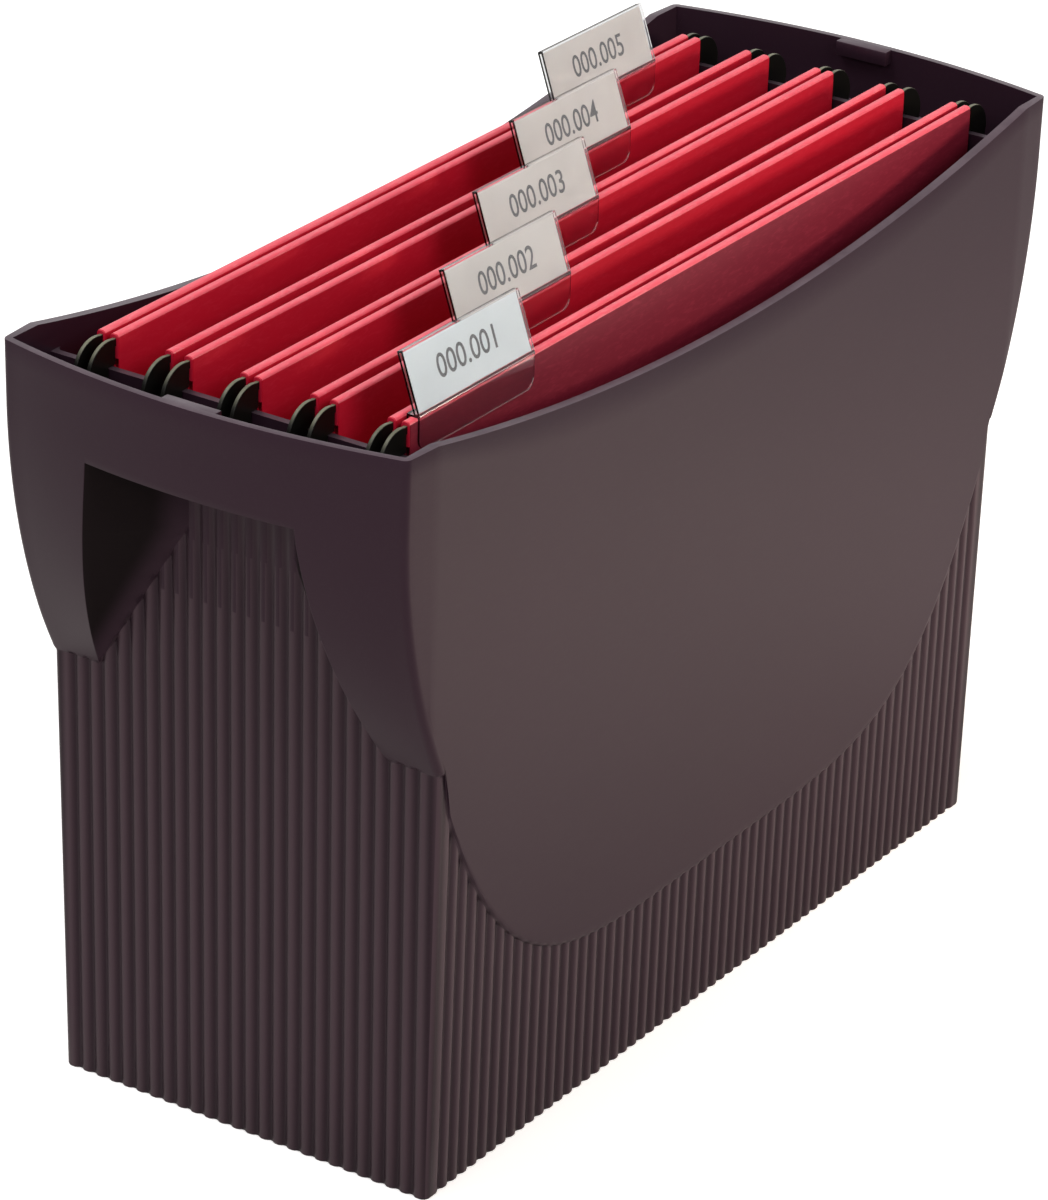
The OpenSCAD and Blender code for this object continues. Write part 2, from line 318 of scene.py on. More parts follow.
def soften(piece: bpy.types.Object, angle: float = 32, flat_faces: bool = False) -> None:
    """Shades a piece smooth, apart from its sharp edges.

    Args:
        piece: The piece.
        angle: Edges sharper than this stay sharp, in degrees.
        flat_faces: True to keep large flat faces flat beside their rounded edges.
    """
    piece.data.shade_smooth()
    piece.data.set_sharp_from_angle(angle=math.radians(angle))
    if flat_faces:
        tool = piece.modifiers.new("flat_faces", "WEIGHTED_NORMAL")
        tool.keep_sharp = True
        settle(piece)


def opaque(colour: Colour) -> tuple[float, ...]:
    """Adds full opacity to a colour."""
    return (*colour, 1.0)


class Socket(Enum):
    """Kinds of socket that the effect groups have."""

    NUMBER = "NodeSocketFloat"
    COLOUR = "NodeSocketColor"
    DIRECTION = "NodeSocketVector"


class Graph:
    """Node tree under construction."""

    def __init__(self, tree: bpy.types.NodeTree) -> None:
        """Takes on a tree."""
        self.tree = tree

    def feed(self, slot: bpy.types.NodeSocket, value: object) -> None:
        """Links a node's output to an input, or sets the input's constant.

        Args:
            slot: The input.
            value: An output in the same tree, or the constant.
        """
        if isinstance(value, bpy.types.NodeSocket):
            self.tree.links.new(value, slot)
        else:
            slot.default_value = value

    def fill(self, name: str, **values: object) -> None:
        """Feeds inputs of a node that the tree has from the start.

        Args:
            name: Name of the node.
            values: Outputs or constants by the input's name, with underscores for spaces.
        """
        for key, value in values.items():
            self.feed(self.tree.nodes[name].inputs[key.replace("_", " ")], value)

    def node(self, kind: str, **settings: object) -> bpy.types.Node:
        """Adds a node.

        Args:
            kind: Type of the node.
            settings: Its properties, and outputs or constants for its inputs as in fill.

        Returns:
            The node.
        """
        made = self.tree.nodes.new(kind)
        for key, value in settings.items():
            if hasattr(made, key):
                setattr(made, key, value)
            else:
                self.feed(made.inputs[key.replace("_", " ")], value)
        return made

    def math(self, operation: str, *values: object) -> bpy.types.NodeSocket:
        """Works out a number.

        Args:
            operation: Name of the operation.
            values: Outputs or constants that it takes, in order.

        Returns:
            The socket with the result.
        """
        made = self.node("ShaderNodeMath", operation=operation)
        for slot, value in zip(made.inputs, values):
            self.feed(slot, value)
        return made.outputs["Value"]

    def ramp(self, value: bpy.types.NodeSocket, soft: bool = False, **ends: object) -> bpy.types.NodeSocket:
        """Brings a value from one span to another, clamped, both 0 to 1 unless told otherwise.

        Args:
            value: The value.
            soft: True to ease in and out.
            ends: From_Min, From_Max, To_Min and To_Max.

        Returns:
            The socket with the result.
        """
        bend = "SMOOTHSTEP" if soft else "LINEAR"
        return self.node("ShaderNodeMapRange", interpolation_type=bend, Value=value, **ends).outputs["Result"]

    def mix(self, share: bpy.types.NodeSocket, first: object, second: object) -> bpy.types.NodeSocket:
        """Mixes two colours.

        Args:
            share: The second colour's share.
            first: The first colour, an output or a constant.
            second: The second colour.

        Returns:
            The socket with the mixed colour.
        """
        made = self.node("ShaderNodeMix", data_type="RGBA", Factor=share)
        colours = [slot for slot in made.inputs if slot.type == "RGBA"]
        self.feed(colours[0], first)
        self.feed(colours[1], second)
        return next(slot for slot in made.outputs if slot.type == "RGBA")

    def here(self) -> bpy.types.NodeSocket:
        """Place on the object, in its own metres."""
        return self.node("ShaderNodeTexCoord").outputs["Object"]

    def facing(self) -> bpy.types.NodeSocket:
        """Direction that the surface faces."""
        return self.node("ShaderNodeNewGeometry").outputs["Normal"]

    def parts(self, direction: bpy.types.NodeSocket) -> bpy.types.NodeOutputs:
        """Splits a place or direction into X, Y and Z."""
        return self.node("ShaderNodeSeparateXYZ", Vector=direction).outputs

    def noise(self, **inputs: object) -> bpy.types.NodeSocket:
        """Cloudy noise with these inputs."""
        return self.node("ShaderNodeTexNoise", **inputs).outputs["Fac"]


class Effect(Graph):
    """Shader node group with named inputs and outputs, built once."""

    def __init__(self, name: str) -> None:
        """Starts an empty group.

        Args:
            name: Name of the group.
        """
        super().__init__(bpy.data.node_groups.new(name, "ShaderNodeTree"))
        self.enter = self.tree.nodes.new("NodeGroupInput")
        self.leave = self.tree.nodes.new("NodeGroupOutput")

    def takes(self, name: str, kind: Socket, value: object = None) -> bpy.types.NodeSocket:
        """Adds an input.

        Args:
            name: Name of the input.
            kind: Its kind.
            value: Its default value.

        Returns:
            The socket that brings the input into the group.
        """
        item = self.tree.interface.new_socket(name, in_out="INPUT", socket_type=kind.value)
        if value is not None:
            item.default_value = value
        return self.enter.outputs[name]

    def gives(self, name: str, kind: Socket, source: bpy.types.NodeSocket) -> None:
        """Adds an output and feeds it.

        Args:
            name: Name of the output.
            kind: Its kind.
            source: The socket inside the group that feeds it.
        """
        self.tree.interface.new_socket(name, in_out="OUTPUT", socket_type=kind.value)
        self.feed(self.leave.inputs[name], source)


def grain_effect() -> bpy.types.NodeTree:
    """Builds the fine grain of a surface and the slow clouds in its tone.

    Returns:
        The group, with outputs Height and Cloud.
    """
    effect = Effect("surface_grain")
    scale = effect.takes("Scale", Socket.NUMBER, 900.0)
    cloud_scale = effect.takes("Cloud Scale", Socket.NUMBER, 9.0)
    here = effect.here()
    fine = effect.noise(Vector=here, Scale=scale, Detail=3.0, Roughness=0.6)
    slow = effect.noise(Vector=here, Scale=cloud_scale, Detail=2.0, Roughness=0.5)
    effect.gives("Height", Socket.NUMBER, fine)
    effect.gives("Cloud", Socket.NUMBER, slow)
    return effect.tree


def drift_effect() -> bpy.types.NodeTree:
    """Builds a soft change from one colour to another, driven by a value.

    Returns:
        The group, with output Colour.
    """
    effect = Effect("colour_drift")
    first = effect.takes("First", Socket.COLOUR)
    second = effect.takes("Second", Socket.COLOUR)
    value = effect.takes("Value", Socket.NUMBER, 0.5)
    share = effect.ramp(value, soft=True, From_Min=0.35, From_Max=0.65)
    effect.gives("Colour", Socket.COLOUR, effect.mix(share, first, second))
    return effect.tree


def fleck_effect() -> bpy.types.NodeTree:
    """Builds short fibres or specks scattered over a surface.

    Returns:
        The group, with output Mask.
    """
    effect = Effect("fibre_flecks")
    scale = effect.takes("Scale", Socket.NUMBER, 400.0)
    stretch = effect.takes("Stretch", Socket.DIRECTION, (0.25, 1.0, 1.0))
    cover = effect.takes("Cover", Socket.NUMBER, 0.3)
    pull = effect.node("ShaderNodeVectorMath", operation="MULTIPLY", Vector=effect.here())
    effect.feed(pull.inputs[1], stretch)
    where = pull.outputs["Vector"]
    speck = effect.noise(Vector=where, Scale=scale, Detail=1.5, Roughness=0.4, Distortion=1.2)
    edge = effect.math("SUBTRACT", 0.75, cover)
    effect.gives("Mask", Socket.NUMBER, effect.ramp(speck, soft=True, From_Min=edge, From_Max=0.8))
    return effect.tree


def dust_and_sheen_effect() -> bpy.types.NodeTree:
    """Builds the tone laid on surfaces that face up: a thin dusty film that settles there, and with it a
    painted sheen where light from above falls on the tops.

    Returns:
        The group, with output Mask.
    """
    effect = Effect("dust_and_top_sheen")
    amount = effect.takes("Amount", Socket.NUMBER, 0.3)
    up = effect.ramp(effect.parts(effect.facing())["Z"], soft=True, From_Min=0.45)
    patch = effect.noise(Vector=effect.here(), Scale=60.0, Detail=4.0, Roughness=0.7)
    share = effect.ramp(patch, From_Min=0.3, From_Max=0.7, To_Min=0.4)
    both = effect.math("MULTIPLY", up, share)
    effect.gives("Mask", Socket.NUMBER, effect.math("MULTIPLY", both, amount))
    return effect.tree


def reach_effect() -> bpy.types.NodeTree:
    """Builds a fade along the length of the object, the same towards both ends, which lays painted shade.

    Returns:
        The group, with output Mask.
    """
    effect = Effect("end_reach")
    start = effect.takes("Start", Socket.NUMBER, 0.1)
    end = effect.takes("End", Socket.NUMBER, 0.2)
    away = effect.math("ABSOLUTE", effect.parts(effect.here())["X"])
    effect.gives("Mask", Socket.NUMBER, effect.ramp(away, soft=True, From_Min=start, From_Max=end))
    return effect.tree


def rib_light_effect() -> bpy.types.NodeTree:
    """Builds painted light on even grooves: a painted highlight on the ridges and painted shade in the
    grooves, which fades out towards a height.

    Returns:
        The group, with output Mask: 1 on the ridges, 0 in the grooves, a half where it has faded out.
    """
    effect = Effect("painted_rib_light")
    turns = effect.takes("Turns", Socket.NUMBER, 1000.0)
    full = effect.takes("Full Below", Socket.NUMBER, 0.1)
    gone = effect.takes("Gone Above", Socket.NUMBER, 0.2)
    where = effect.parts(effect.here())
    across = effect.math("ABSOLUTE", effect.parts(effect.facing())["Y"])
    on_side = effect.math("GREATER_THAN", across, 0.707)
    along = effect.node("ShaderNodeMix", data_type="FLOAT", Factor=on_side, A=where["Y"], B=where["X"])
    angle = effect.math("MULTIPLY", along.outputs["Result"], turns)
    fade = effect.ramp(where["Z"], soft=True, From_Min=full, From_Max=gone, To_Min=-0.5, To_Max=0.0)
    tone = effect.math("MULTIPLY_ADD", effect.math("COSINE", angle), fade, 0.5)
    effect.gives("Mask", Socket.NUMBER, tone)
    return effect.tree


class Effects:
    """The node groups that the finishes share."""

    def __init__(self) -> None:
        """Builds each group once."""
        self.groups = {
            "grain": grain_effect(),
            "drift": drift_effect(),
            "flecks": fleck_effect(),
            "dust_and_sheen": dust_and_sheen_effect(),
            "reach": reach_effect(),
            # The ridges group paints highlights on the ribs' crests and shade in their grooves.
            "ridges": rib_light_effect(),
        }

    def place(self, graph: Graph, name: str, **inputs: object) -> bpy.types.NodeOutputs:
        """Places one group in a material.

        Args:
            graph: The material's tree.
            name: Short name of the group.
            inputs: Its inputs, as for any node.

        Returns:
            Its outputs.
        """
        return graph.node("ShaderNodeGroup", node_tree=self.groups[name], **inputs).outputs


@dataclass(frozen=True)
class Finish:
    """Surface finish of an opaque material.

    Attributes:
        name: Name of the material.
        colour: Main colour, linear.
        drift: Second colour that the main one drifts to in soft clouds.
        roughness: Lowest and highest roughness.
        grain_scale: Scale of the fine grain.
        grain_depth: Depth of the fine grain in millimetres.
        cloud_scale: Scale of the clouds.
        fleck: Colour of the flecks, linear.
        fleck_share: How strongly the flecks show.
        fleck_scale: Scale of the flecks.
        dust_and_sheen: Amount of dusty film, and of painted sheen from light above, on surfaces that face up.
        dust_and_sheen_colour: Colour of the dusty film and the painted sheen, linear.
        ior: Index of refraction.
        gloss_tint: Tint of the reflections that face the eye.
        fade: Colour of the painted shade that the surface darkens to towards the ends of the object, linear.
        painted_shade_x: Distances from the middle, in millimetres, where that painted shade starts and ends.
        ridge_highlight: Colour of the painted highlight on the ridges between grooves, linear; the grooves
            keep the darker main colour as painted shade.
        ridge_pitch: Distance from groove to groove in millimetres, 0 for none.
        ridge_z: Heights, in millimetres, below which the ridges show fully and above which not at all.
    """

    name: str
    colour: Colour
    drift: Colour
    roughness: Span = (0.4, 0.5)
    grain_scale: float = 900.0
    grain_depth: float = 0.01
    cloud_scale: float = 9.0
    fleck: Colour = (0.5, 0.5, 0.5)
    fleck_share: float = 0.0
    fleck_scale: float = 400.0
    dust_and_sheen: float = 0.0
    dust_and_sheen_colour: Colour = (0.35, 0.32, 0.33)
    ior: float = 1.46
    gloss_tint: Colour = (1.0, 1.0, 1.0)
    fade: Colour = (0.0, 0.0, 0.0)
    painted_shade_x: Span = (0.0, 0.0)
    ridge_highlight: Colour = (0.5, 0.5, 0.5)
    ridge_pitch: float = 0.0
    ridge_z: Span = (0.0, 0.0)

    def material(self, effects: Effects) -> bpy.types.Material:
        """Builds the material.

        Args:
            effects: The shared node groups.

        Returns:
            The material.
        """
        made = bpy.data.materials.new(self.name)
        made.use_nodes = True
        graph = Graph(made.node_tree)
        grain = effects.place(graph, "grain", Scale=self.grain_scale, Cloud_Scale=self.cloud_scale)
        ends = {"First": opaque(self.colour), "Second": opaque(self.drift)}
        colour = effects.place(graph, "drift", Value=grain["Cloud"], **ends)["Colour"]
        for mask, laid in self.layers(effects, graph):
            colour = graph.mix(mask, colour, opaque(laid))
        depth = self.grain_depth * MM
        bump = graph.node("ShaderNodeBump", Distance=depth, Strength=1.0, Height=grain["Height"])
        graph.fill(
            "Principled BSDF",
            Base_Color=colour,
            Roughness=graph.ramp(grain["Cloud"], To_Min=self.roughness[0], To_Max=self.roughness[1]),
            IOR=self.ior,
            Specular_Tint=opaque(self.gloss_tint),
            Normal=bump.outputs["Normal"],
        )
        return made

    def layers(self, effects: Effects, graph: Graph) -> list[tuple[bpy.types.NodeSocket, Colour]]:
        """Places the effects that lay another colour over the surface.

        Args:
            effects: The shared node groups.
            graph: The material's tree.

        Returns:
            Each effect's mask and colour, the lowest layer first.
        """
        laid = []
        if self.fleck_share > 0:
            flecks = effects.place(graph, "flecks", Scale=self.fleck_scale)["Mask"]
            laid.append((graph.math("MULTIPLY", flecks, self.fleck_share), self.fleck))
        # Painted highlight on the crests between grooves, over the darker main colour as painted shade in the
        # grooves.
        if self.ridge_pitch > 0:
            turns, (full, gone) = 2 * math.pi / (self.ridge_pitch * MM), self.ridge_z
            fade = {"Full_Below": full * MM, "Gone_Above": gone * MM}
            laid.append((effects.place(graph, "ridges", Turns=turns, **fade)["Mask"], self.ridge_highlight))
        # Painted shade that darkens the surface towards the ends of the object.
        if self.painted_shade_x[1] > self.painted_shade_x[0]:
            start, end = (x * MM for x in self.painted_shade_x)
            laid.append((effects.place(graph, "reach", Start=start, End=end)["Mask"], self.fade))
        # A dusty film, and a painted sheen from light above, on surfaces that face up.
        if self.dust_and_sheen > 0:
            laid.append((effects.place(graph, "dust_and_sheen", Amount=self.dust_and_sheen)["Mask"], self.dust_and_sheen_colour))
        return laid


@dataclass(frozen=True)
class ClearFinish:
    """Clear plastic with faint scuffs.

    Attributes:
        name: Name of the material.
        tint: Colour of the plastic, linear.
        ior: Index of refraction.
        roughness: Lowest and highest roughness.
        scuff_scale: Scale of the scuffs.
    """

    name: str
    tint: Colour
    ior: float = 1.46
    roughness: Span = (0.02, 0.10)
    scuff_scale: float = 160.0

    def material(self, effects: Effects) -> bpy.types.Material:
        """Builds the material.

        Args:
            effects: The shared node groups.

        Returns:
            The material.
        """
        made = bpy.data.materials.new(self.name)
        made.use_nodes = True
        graph = Graph(made.node_tree)
        scuffs = effects.place(graph, "flecks", Scale=self.scuff_scale)["Mask"]
        graph.fill(
            "Principled BSDF",
            Base_Color=opaque(self.tint),
            Roughness=graph.ramp(scuffs, To_Min=self.roughness[0], To_Max=self.roughness[1]),
            IOR=self.ior,
            Transmission_Weight=1.0,
        )
        return made


SHELL = Finish(
    name="aubergine_shell",
    colour=(0.0215, 0.0098, 0.0172),
    drift=(0.0245, 0.0115, 0.0195),
    roughness=(0.30, 0.37),
    grain_scale=1500.0,
    grain_depth=0.006,
    cloud_scale=7.0,
    fleck=(0.04, 0.030, 0.036),
    fleck_share=0.12,
    fleck_scale=900.0,
    # A dusty film on surfaces that face up, with a painted mauve sheen where light from above falls on the
    # rim.
    dust_and_sheen=0.30,
    dust_and_sheen_colour=(0.22, 0.17, 0.20),
    ior=1.33,
    gloss_tint=(1.0, 0.75, 0.88),
)
# Painted light on the ribs: a darker copy of the shell as painted shade in the grooves, with painted
# highlights on the crests that fade out towards the top.
RIBS_PAINTED_LIGHT = replace(
    SHELL,
    name="aubergine_ribs_painted_light",
    colour=(0.0115, 0.0055, 0.0092),
    drift=(0.0130, 0.0064, 0.0106),
    dust_and_sheen=0.0,
    ridge_highlight=(0.056, 0.036, 0.045),
    ridge_pitch=5.4,
    ridge_z=(180.0, 229.0),
)
# Painted shade in the finger pockets: a matt copy of the shell that darkens towards the arch's edge, with a
# lighter colour near the end wall in place of the gloss it lacks.
RECESS_SHADE = replace(
    SHELL,
    name="aubergine_recess",
    colour=(0.040, 0.023, 0.033),
    drift=(0.042, 0.024, 0.035),
    roughness=(0.60, 0.70),
    grain_depth=0.015,
    fleck_share=0.0,
    dust_and_sheen=0.0,
    ior=1.16,
    gloss_tint=(1.0, 1.0, 1.0),
    fade=(0.0080, 0.0048, 0.0054),
    painted_shade_x=(167.0, 175.0),
)
CARD = Finish(
    name="crimson_card",
    colour=(0.520, 0.0050, 0.025),
    drift=(0.485, 0.0045, 0.022),
    roughness=(0.54, 0.60),
    grain_scale=1300.0,
    grain_depth=0.014,
    cloud_scale=14.0,
    fleck=(0.60, 0.03, 0.06),
    fleck_share=0.30,
    fleck_scale=900.0,
    ior=1.36,
)
# Painted shade: a darker copy of the card for the first file's front leaf, which stands in for the shade that
# falls on it.
FRONT_CARD_SHADE = replace(
    CARD,
    name="crimson_card_front",
    colour=(0.190, 0.0075, 0.023),
    drift=(0.172, 0.0070, 0.022),
    fleck=(0.34, 0.03, 0.06),
)
# Painted highlight: a lighter, glossier copy of the card on the leaves' folded top edge, where light from
# above falls.
FOLD_HIGHLIGHT = Finish(
    name="crimson_fold",
    colour=(0.760, 0.085, 0.120),
    drift=(0.700, 0.065, 0.100),
    roughness=(0.30, 0.42),
    grain_scale=1300.0,
    grain_depth=0.010,
    cloud_scale=60.0,
    fleck=(0.80, 0.25, 0.28),
    fleck_share=0.30,
    fleck_scale=700.0,
)
ROD = Finish(
    name="crimson_rod",
    colour=(0.520, 0.012, 0.038),
    drift=(0.480, 0.010, 0.034),
    roughness=(0.24, 0.34),
    grain_scale=700.0,
    grain_depth=0.006,
    cloud_scale=20.0,
    dust_and_sheen=0.05,
)
HOOK = Finish(
    name="black_hook",
    colour=(0.0035, 0.0035, 0.0030),
    drift=(0.0050, 0.0050, 0.0042),
    roughness=(0.30, 0.40),
    grain_depth=0.006,
    cloud_scale=30.0,
    # Mostly a painted olive highlight on the blades' up-facing edges, where light from above catches them,
    # with a little dusty film.
    dust_and_sheen=0.75,
    dust_and_sheen_colour=(0.26, 0.26, 0.18),
    ior=1.24,
)
PAPER = Finish(
    name="label_paper",
    colour=(0.650, 0.615, 0.580),
    drift=(0.610, 0.575, 0.540),
    roughness=(0.75, 0.88),
    grain_scale=2500.0,
    grain_depth=0.020,
    cloud_scale=60.0,
    fleck=(0.55, 0.53, 0.50),
    fleck_share=0.18,
    fleck_scale=1200.0,
)
FRESH_PAPER = replace(
    PAPER,
    name="label_paper_fresh",
    colour=(0.700, 0.745, 0.760),
    drift=(0.670, 0.715, 0.730),
    fleck=(0.55, 0.57, 0.58),
    fleck_share=0.15,
)
INK = Finish(
    name="printed_ink",
    colour=(0.040, 0.037, 0.040),
    drift=(0.075, 0.070, 0.073),
    roughness=(0.55, 0.65),
    grain_scale=2500.0,
    grain_depth=0.004,
    cloud_scale=200.0,
)
CLEAR = ClearFinish(name="clear_tab", tint=(0.975, 0.985, 0.990))
FINISHES = {
    "shell": SHELL,
    "ribs": RIBS_PAINTED_LIGHT,
    "recess_shade": RECESS_SHADE,
    "card": CARD,
    "front_card": FRONT_CARD_SHADE,
    "fold": FOLD_HIGHLIGHT,
    "rod": ROD,
    "hook": HOOK,
    "paper": PAPER,
    "fresh": FRESH_PAPER,
    "ink": INK,
    "clear": CLEAR,
}


@dataclass
class MouldedBox:
    """The moulded box: sizes in millimetres, outer skin, cutters and finish.

    A size that the CAD source has too stands under the same name and is the same, apart from
    groove_width, which is 3 there: the grooves here run out softly. Sizes that end in rows or
    columns count the faces of a stretch, those in clear, near and skin are margins, and those in
    over say how far a cutter stands out past the rim. return_columns are the places of the columns
    across the pocket's side, as shares, and lip_most is the widest share that its lip takes.
    """

    rail_spacing: float = 330.0
    rail_height: float = 249.5
    rim_above_rail: float = 10.5
    box_width: float = 150.0
    side_draft: float = 3.6
    end_draft: float = 1.5
    wall: float = 2.5
    side_wall: float = 3.2
    floor_t: float = 2.8
    corner_r: float = 2.6
    flare_reach: float = 21.0
    flare_bow: float = 9.0
    tip_height: float = 149.0
    flare_straight: float = 20.0
    trench_gap: float = 2.0
    wing_length: float = 14.2
    wing_in: float = 0.8
    pad_width: float = 20.0
    pad_depth: float = 3.5
    pad_height: float = 5.2
    grip_drop: float = 18.5
    grip_half_top: float = 38.5
    grip_half_tip: float = 54.5
    arch_power: float = 1.25
    pocket_half_top: float = 19.6
    pocket_spread_drop: float = 25.0
    pocket_rise: float = 5.5
    rib_pitch: float = 5.4
    groove_width: float = 4.0
    groove_depth: float = 0.9
    groove_power: float = 0.8
    rib_fade: float = 40.0
    return_start: float = 5.0
    rib_margin: float = 4.0
    apron_bottom: float = 53.0
    apron_proud: float = 0.8
    apron_power: float = 4.7
    rim_dip: float = 17.4
    edge_round: float = 0.5
    foot_round: float = 0.6
    step_half: float = 0.8
    floor_fillet: tuple[Span, ...] = ((0.0, 3.0), (0.9, 0.9), (3.0, 0.0))
    return_columns: tuple[float, ...] = (0.08, 0.3, 0.52, 0.75)
    lip_most: float = 0.2
    samples: int = 8
    low_rows: int = 6
    arch_rows: int = 8
    flare_rows: int = 4
    straight_rows: int = 3
    wing_columns: int = 5
    flare_columns: int = 40
    trench_rows: int = 14
    trench_columns: int = 12
    column_clear: float = 0.12
    near: float = 0.01
    row_clear: float = 0.2
    corner_clear: float = 0.1
    crease_clear: float = 1.0
    trench_clear: float = 0.5
    trench_side: float = 1.2
    edge_tries: int = 6
    skin_clear: float = 0.3
    wall_skin: float = 0.4
    flare_skin: float = 0.15
    tub_over: float = 3.0
    mouth_over: float = 2.0
    sunk: float = 0.02

    def __post_init__(self) -> None:
        """Works out the levels that follow from the sizes."""
        self.half_rail = self.rail_spacing / 2
        self.rim_height = self.rail_height + self.rim_above_rail
        self.flare_full = self.rim_height - self.flare_straight
        self.corner_x = self.half_rail + self.flare_reach
        self.crease_x = self.corner_x - self.wing_length
        self.arch_top = self.rail_height - self.grip_drop
        self.pocket_top = self.arch_top + self.pocket_rise
        self.spread_top = self.arch_top - self.pocket_spread_drop
        self.ledge_top = self.pocket_top + self.wall
        self.end_grooves = 2 * int((self.side_y(0) - self.apron_proud - self.rib_margin) / self.rib_pitch) + 1
        self.side_grooves = 2 * int((self.wall_x(0) - self.rib_margin) / self.rib_pitch) + 1
        self.end_fine = self.end_grooves * self.rib_pitch / 2
        self.side_fine = self.side_grooves * self.rib_pitch / 2
        self.end_columns = self.lay_end_columns()
        self.rows = self.lay_rows()

    def wall_x(self, z: float) -> float:
        """Outer face of the end wall at height z."""
        return self.half_rail + self.wall / 2 - self.end_draft / self.rail_height * (self.rail_height - z)

    def side_y(self, z: float) -> float:
        """Outer face of the long side at height z."""
        return self.box_width / 2 - self.side_draft / self.rim_height * (self.rim_height - z)

    def flare_part(self, z: float) -> float:
        """How far up the flare height z lies, from 0 to 1."""
        return clamped((z - self.tip_height) / (self.flare_full - self.tip_height))

    def flare_x(self, z: float) -> float:
        """Corner of the flare at height z."""
        return self.wall_x(z) + (self.corner_x - self.wall_x(z)) * (1 - (1 - self.flare_part(z)) ** 2)

    def wing_y(self, z: float) -> float:
        """Half width at the corner, where the wing has turned in."""
        return self.side_y(z) - self.wing_in * max(0.0, self.flare_x(z) - self.crease_x) / self.wing_length

    def end_x(self, y: float, z: float) -> float:
        """Outer face of the bowed end at y and z."""
        bow = self.flare_bow * (1 - (1 - self.flare_part(z)) ** 4)
        return self.flare_x(z) + bow * (1 - (y / self.wing_y(z)) ** 2)

    def arch_half(self, z: float) -> float:
        """Half width of the arch on the flare's outer face."""
        drop = clamped((self.arch_top - z) / (self.arch_top - self.tip_height))
        return self.grip_half_top + (self.grip_half_tip - self.grip_half_top) * drop**self.arch_power

    def pocket_half(self, z: float) -> float:
        """Half width of the pocket at the end wall."""
        drop = clamped((self.spread_top - z) / (self.spread_top - self.tip_height))
        return self.pocket_half_top + (self.grip_half_tip - self.pocket_half_top) * drop

    def apron_z(self, x: float) -> float:
        """Lower edge of the apron at x."""
        curve = min(1.0, abs(x) / self.wall_x(self.tip_height)) ** self.apron_power
        return self.apron_bottom + (self.tip_height - self.apron_bottom) * curve

    def rim_z(self, x: float) -> float:
        """Height of the long rim at x, which dips from crease to crease."""
        return self.rim_height - self.rim_dip * (1 - min(1.0, abs(x) / self.crease_x) ** 2)

    def step(self, z: float) -> float:
        """How far the apron's step has come out at row z, from 0 to 1."""
        return smooth((z - self.tip_height + self.step_half) / (2 * self.step_half))

    def foot(self, z: float) -> float:
        """How far the foot's rounding draws the walls in at height z."""
        rise = max(0.0, 1 - z / self.foot_round)
        return self.foot_round * (1 - math.sqrt(max(0.0, 1 - rise * rise)))

    def groove(self, across: float, count: int) -> float:
        """Depth of the soft grooves at a place along a wall.

        Args:
            across: Place along the wall.
            count: Number of grooves, an odd number with one in the middle.

        Returns:
            The depth there.
        """
        if abs(across) > (count / 2) * self.rib_pitch:
            return 0.0
        off = abs(across - round(across / self.rib_pitch) * self.rib_pitch)
        if off >= self.groove_width / 2:
            return 0.0
        dent = 0.5 + 0.5 * math.cos(2 * math.pi * off / self.groove_width)
        return self.groove_depth * dent**self.groove_power

    def lay_end_columns(self) -> list[float]:
        """Lays out the upright columns of the end wall, from the middle outwards.

        Returns:
            Places across the wall: even samples of the ribs and the pocket's own corners.
        """
        pitch = self.rib_pitch / self.samples
        fixed = [self.pocket_half_top, self.grip_half_tip]
        fixed += [self.pocket_half(self.tip_height + self.step_half * t) for t in (0.5, 1.0)]
        even = [i * pitch for i in range(round(self.end_fine / pitch) + 1)]
        kept = [y for y in even if all(abs(y - f) > self.column_clear for f in fixed)]
        return sorted(kept + fixed)

    def lay_rows(self) -> list[float]:
        """Lays out the level rows of the outer skin, as heights at the corners.

        Returns:
            Heights from 0 to the rim.
        """
        low = [self.foot_round * t for t in (0.0, 0.25, 1.0)]
        low += spread(self.foot_round, self.tip_height - self.step_half, self.low_rows)[1:]
        low += [self.tip_height + self.step_half * t for t in (-0.5, 0.0, 0.5, 1.0)]
        span = self.grip_half_tip - self.pocket_half_top
        spreading = [
            self.spread_top - (y - self.pocket_half_top) / span * (self.spread_top - self.tip_height)
            for y in self.end_columns
            if self.pocket_half_top - SAME < y < self.grip_half_tip
        ]
        middle = sorted(z for z in spreading if z > low[-1] + self.row_clear)
        high = spread(self.spread_top, self.arch_top, self.arch_rows)[1:]
        high += spread(self.arch_top, self.flare_full, self.flare_rows)[1:]
        high += spread(self.flare_full, self.rim_height, self.straight_rows)[1:]
        return low + middle + high

    def half_width(self, row: float) -> float:
        """Half width of the box at the corner in one row."""
        return self.wing_y(row) - self.apron_proud * (1 - self.step(row))

    def arc_centre(self, row: float) -> Span:
        """Centre of the corner's rounding in one row."""
        y = self.half_width(row) - self.corner_r
        return self.end_x(y, row) - self.corner_r, y

    def crease(self, row: float) -> float:
        """Where the long side turns into the wing in one row."""
        return min(self.crease_x, self.arc_centre(row)[0] - self.crease_clear)

    def side_columns(self, row: float, fine: bool) -> list[float]:
        """Places of the long side's columns in one row, from the middle to the corner.

        Args:
            row: Height of the row at the corner.
            fine: True for all samples of the ribs, False for one column a rib.

        Returns:
            Places along X.
        """
        pitch = self.rib_pitch / self.samples
        count = round(self.side_fine / pitch)
        half = self.samples // 2
        picks = [i for i in range(count + 1) if fine or i == 0 or i % self.samples == half]
        crease, steps = self.crease(row), self.wing_columns
        outer = spread(self.side_fine, crease, steps)[1:]
        outer += spread(crease, self.arc_centre(row)[0], steps)[1:]
        return [i * pitch for i in picks] + outer

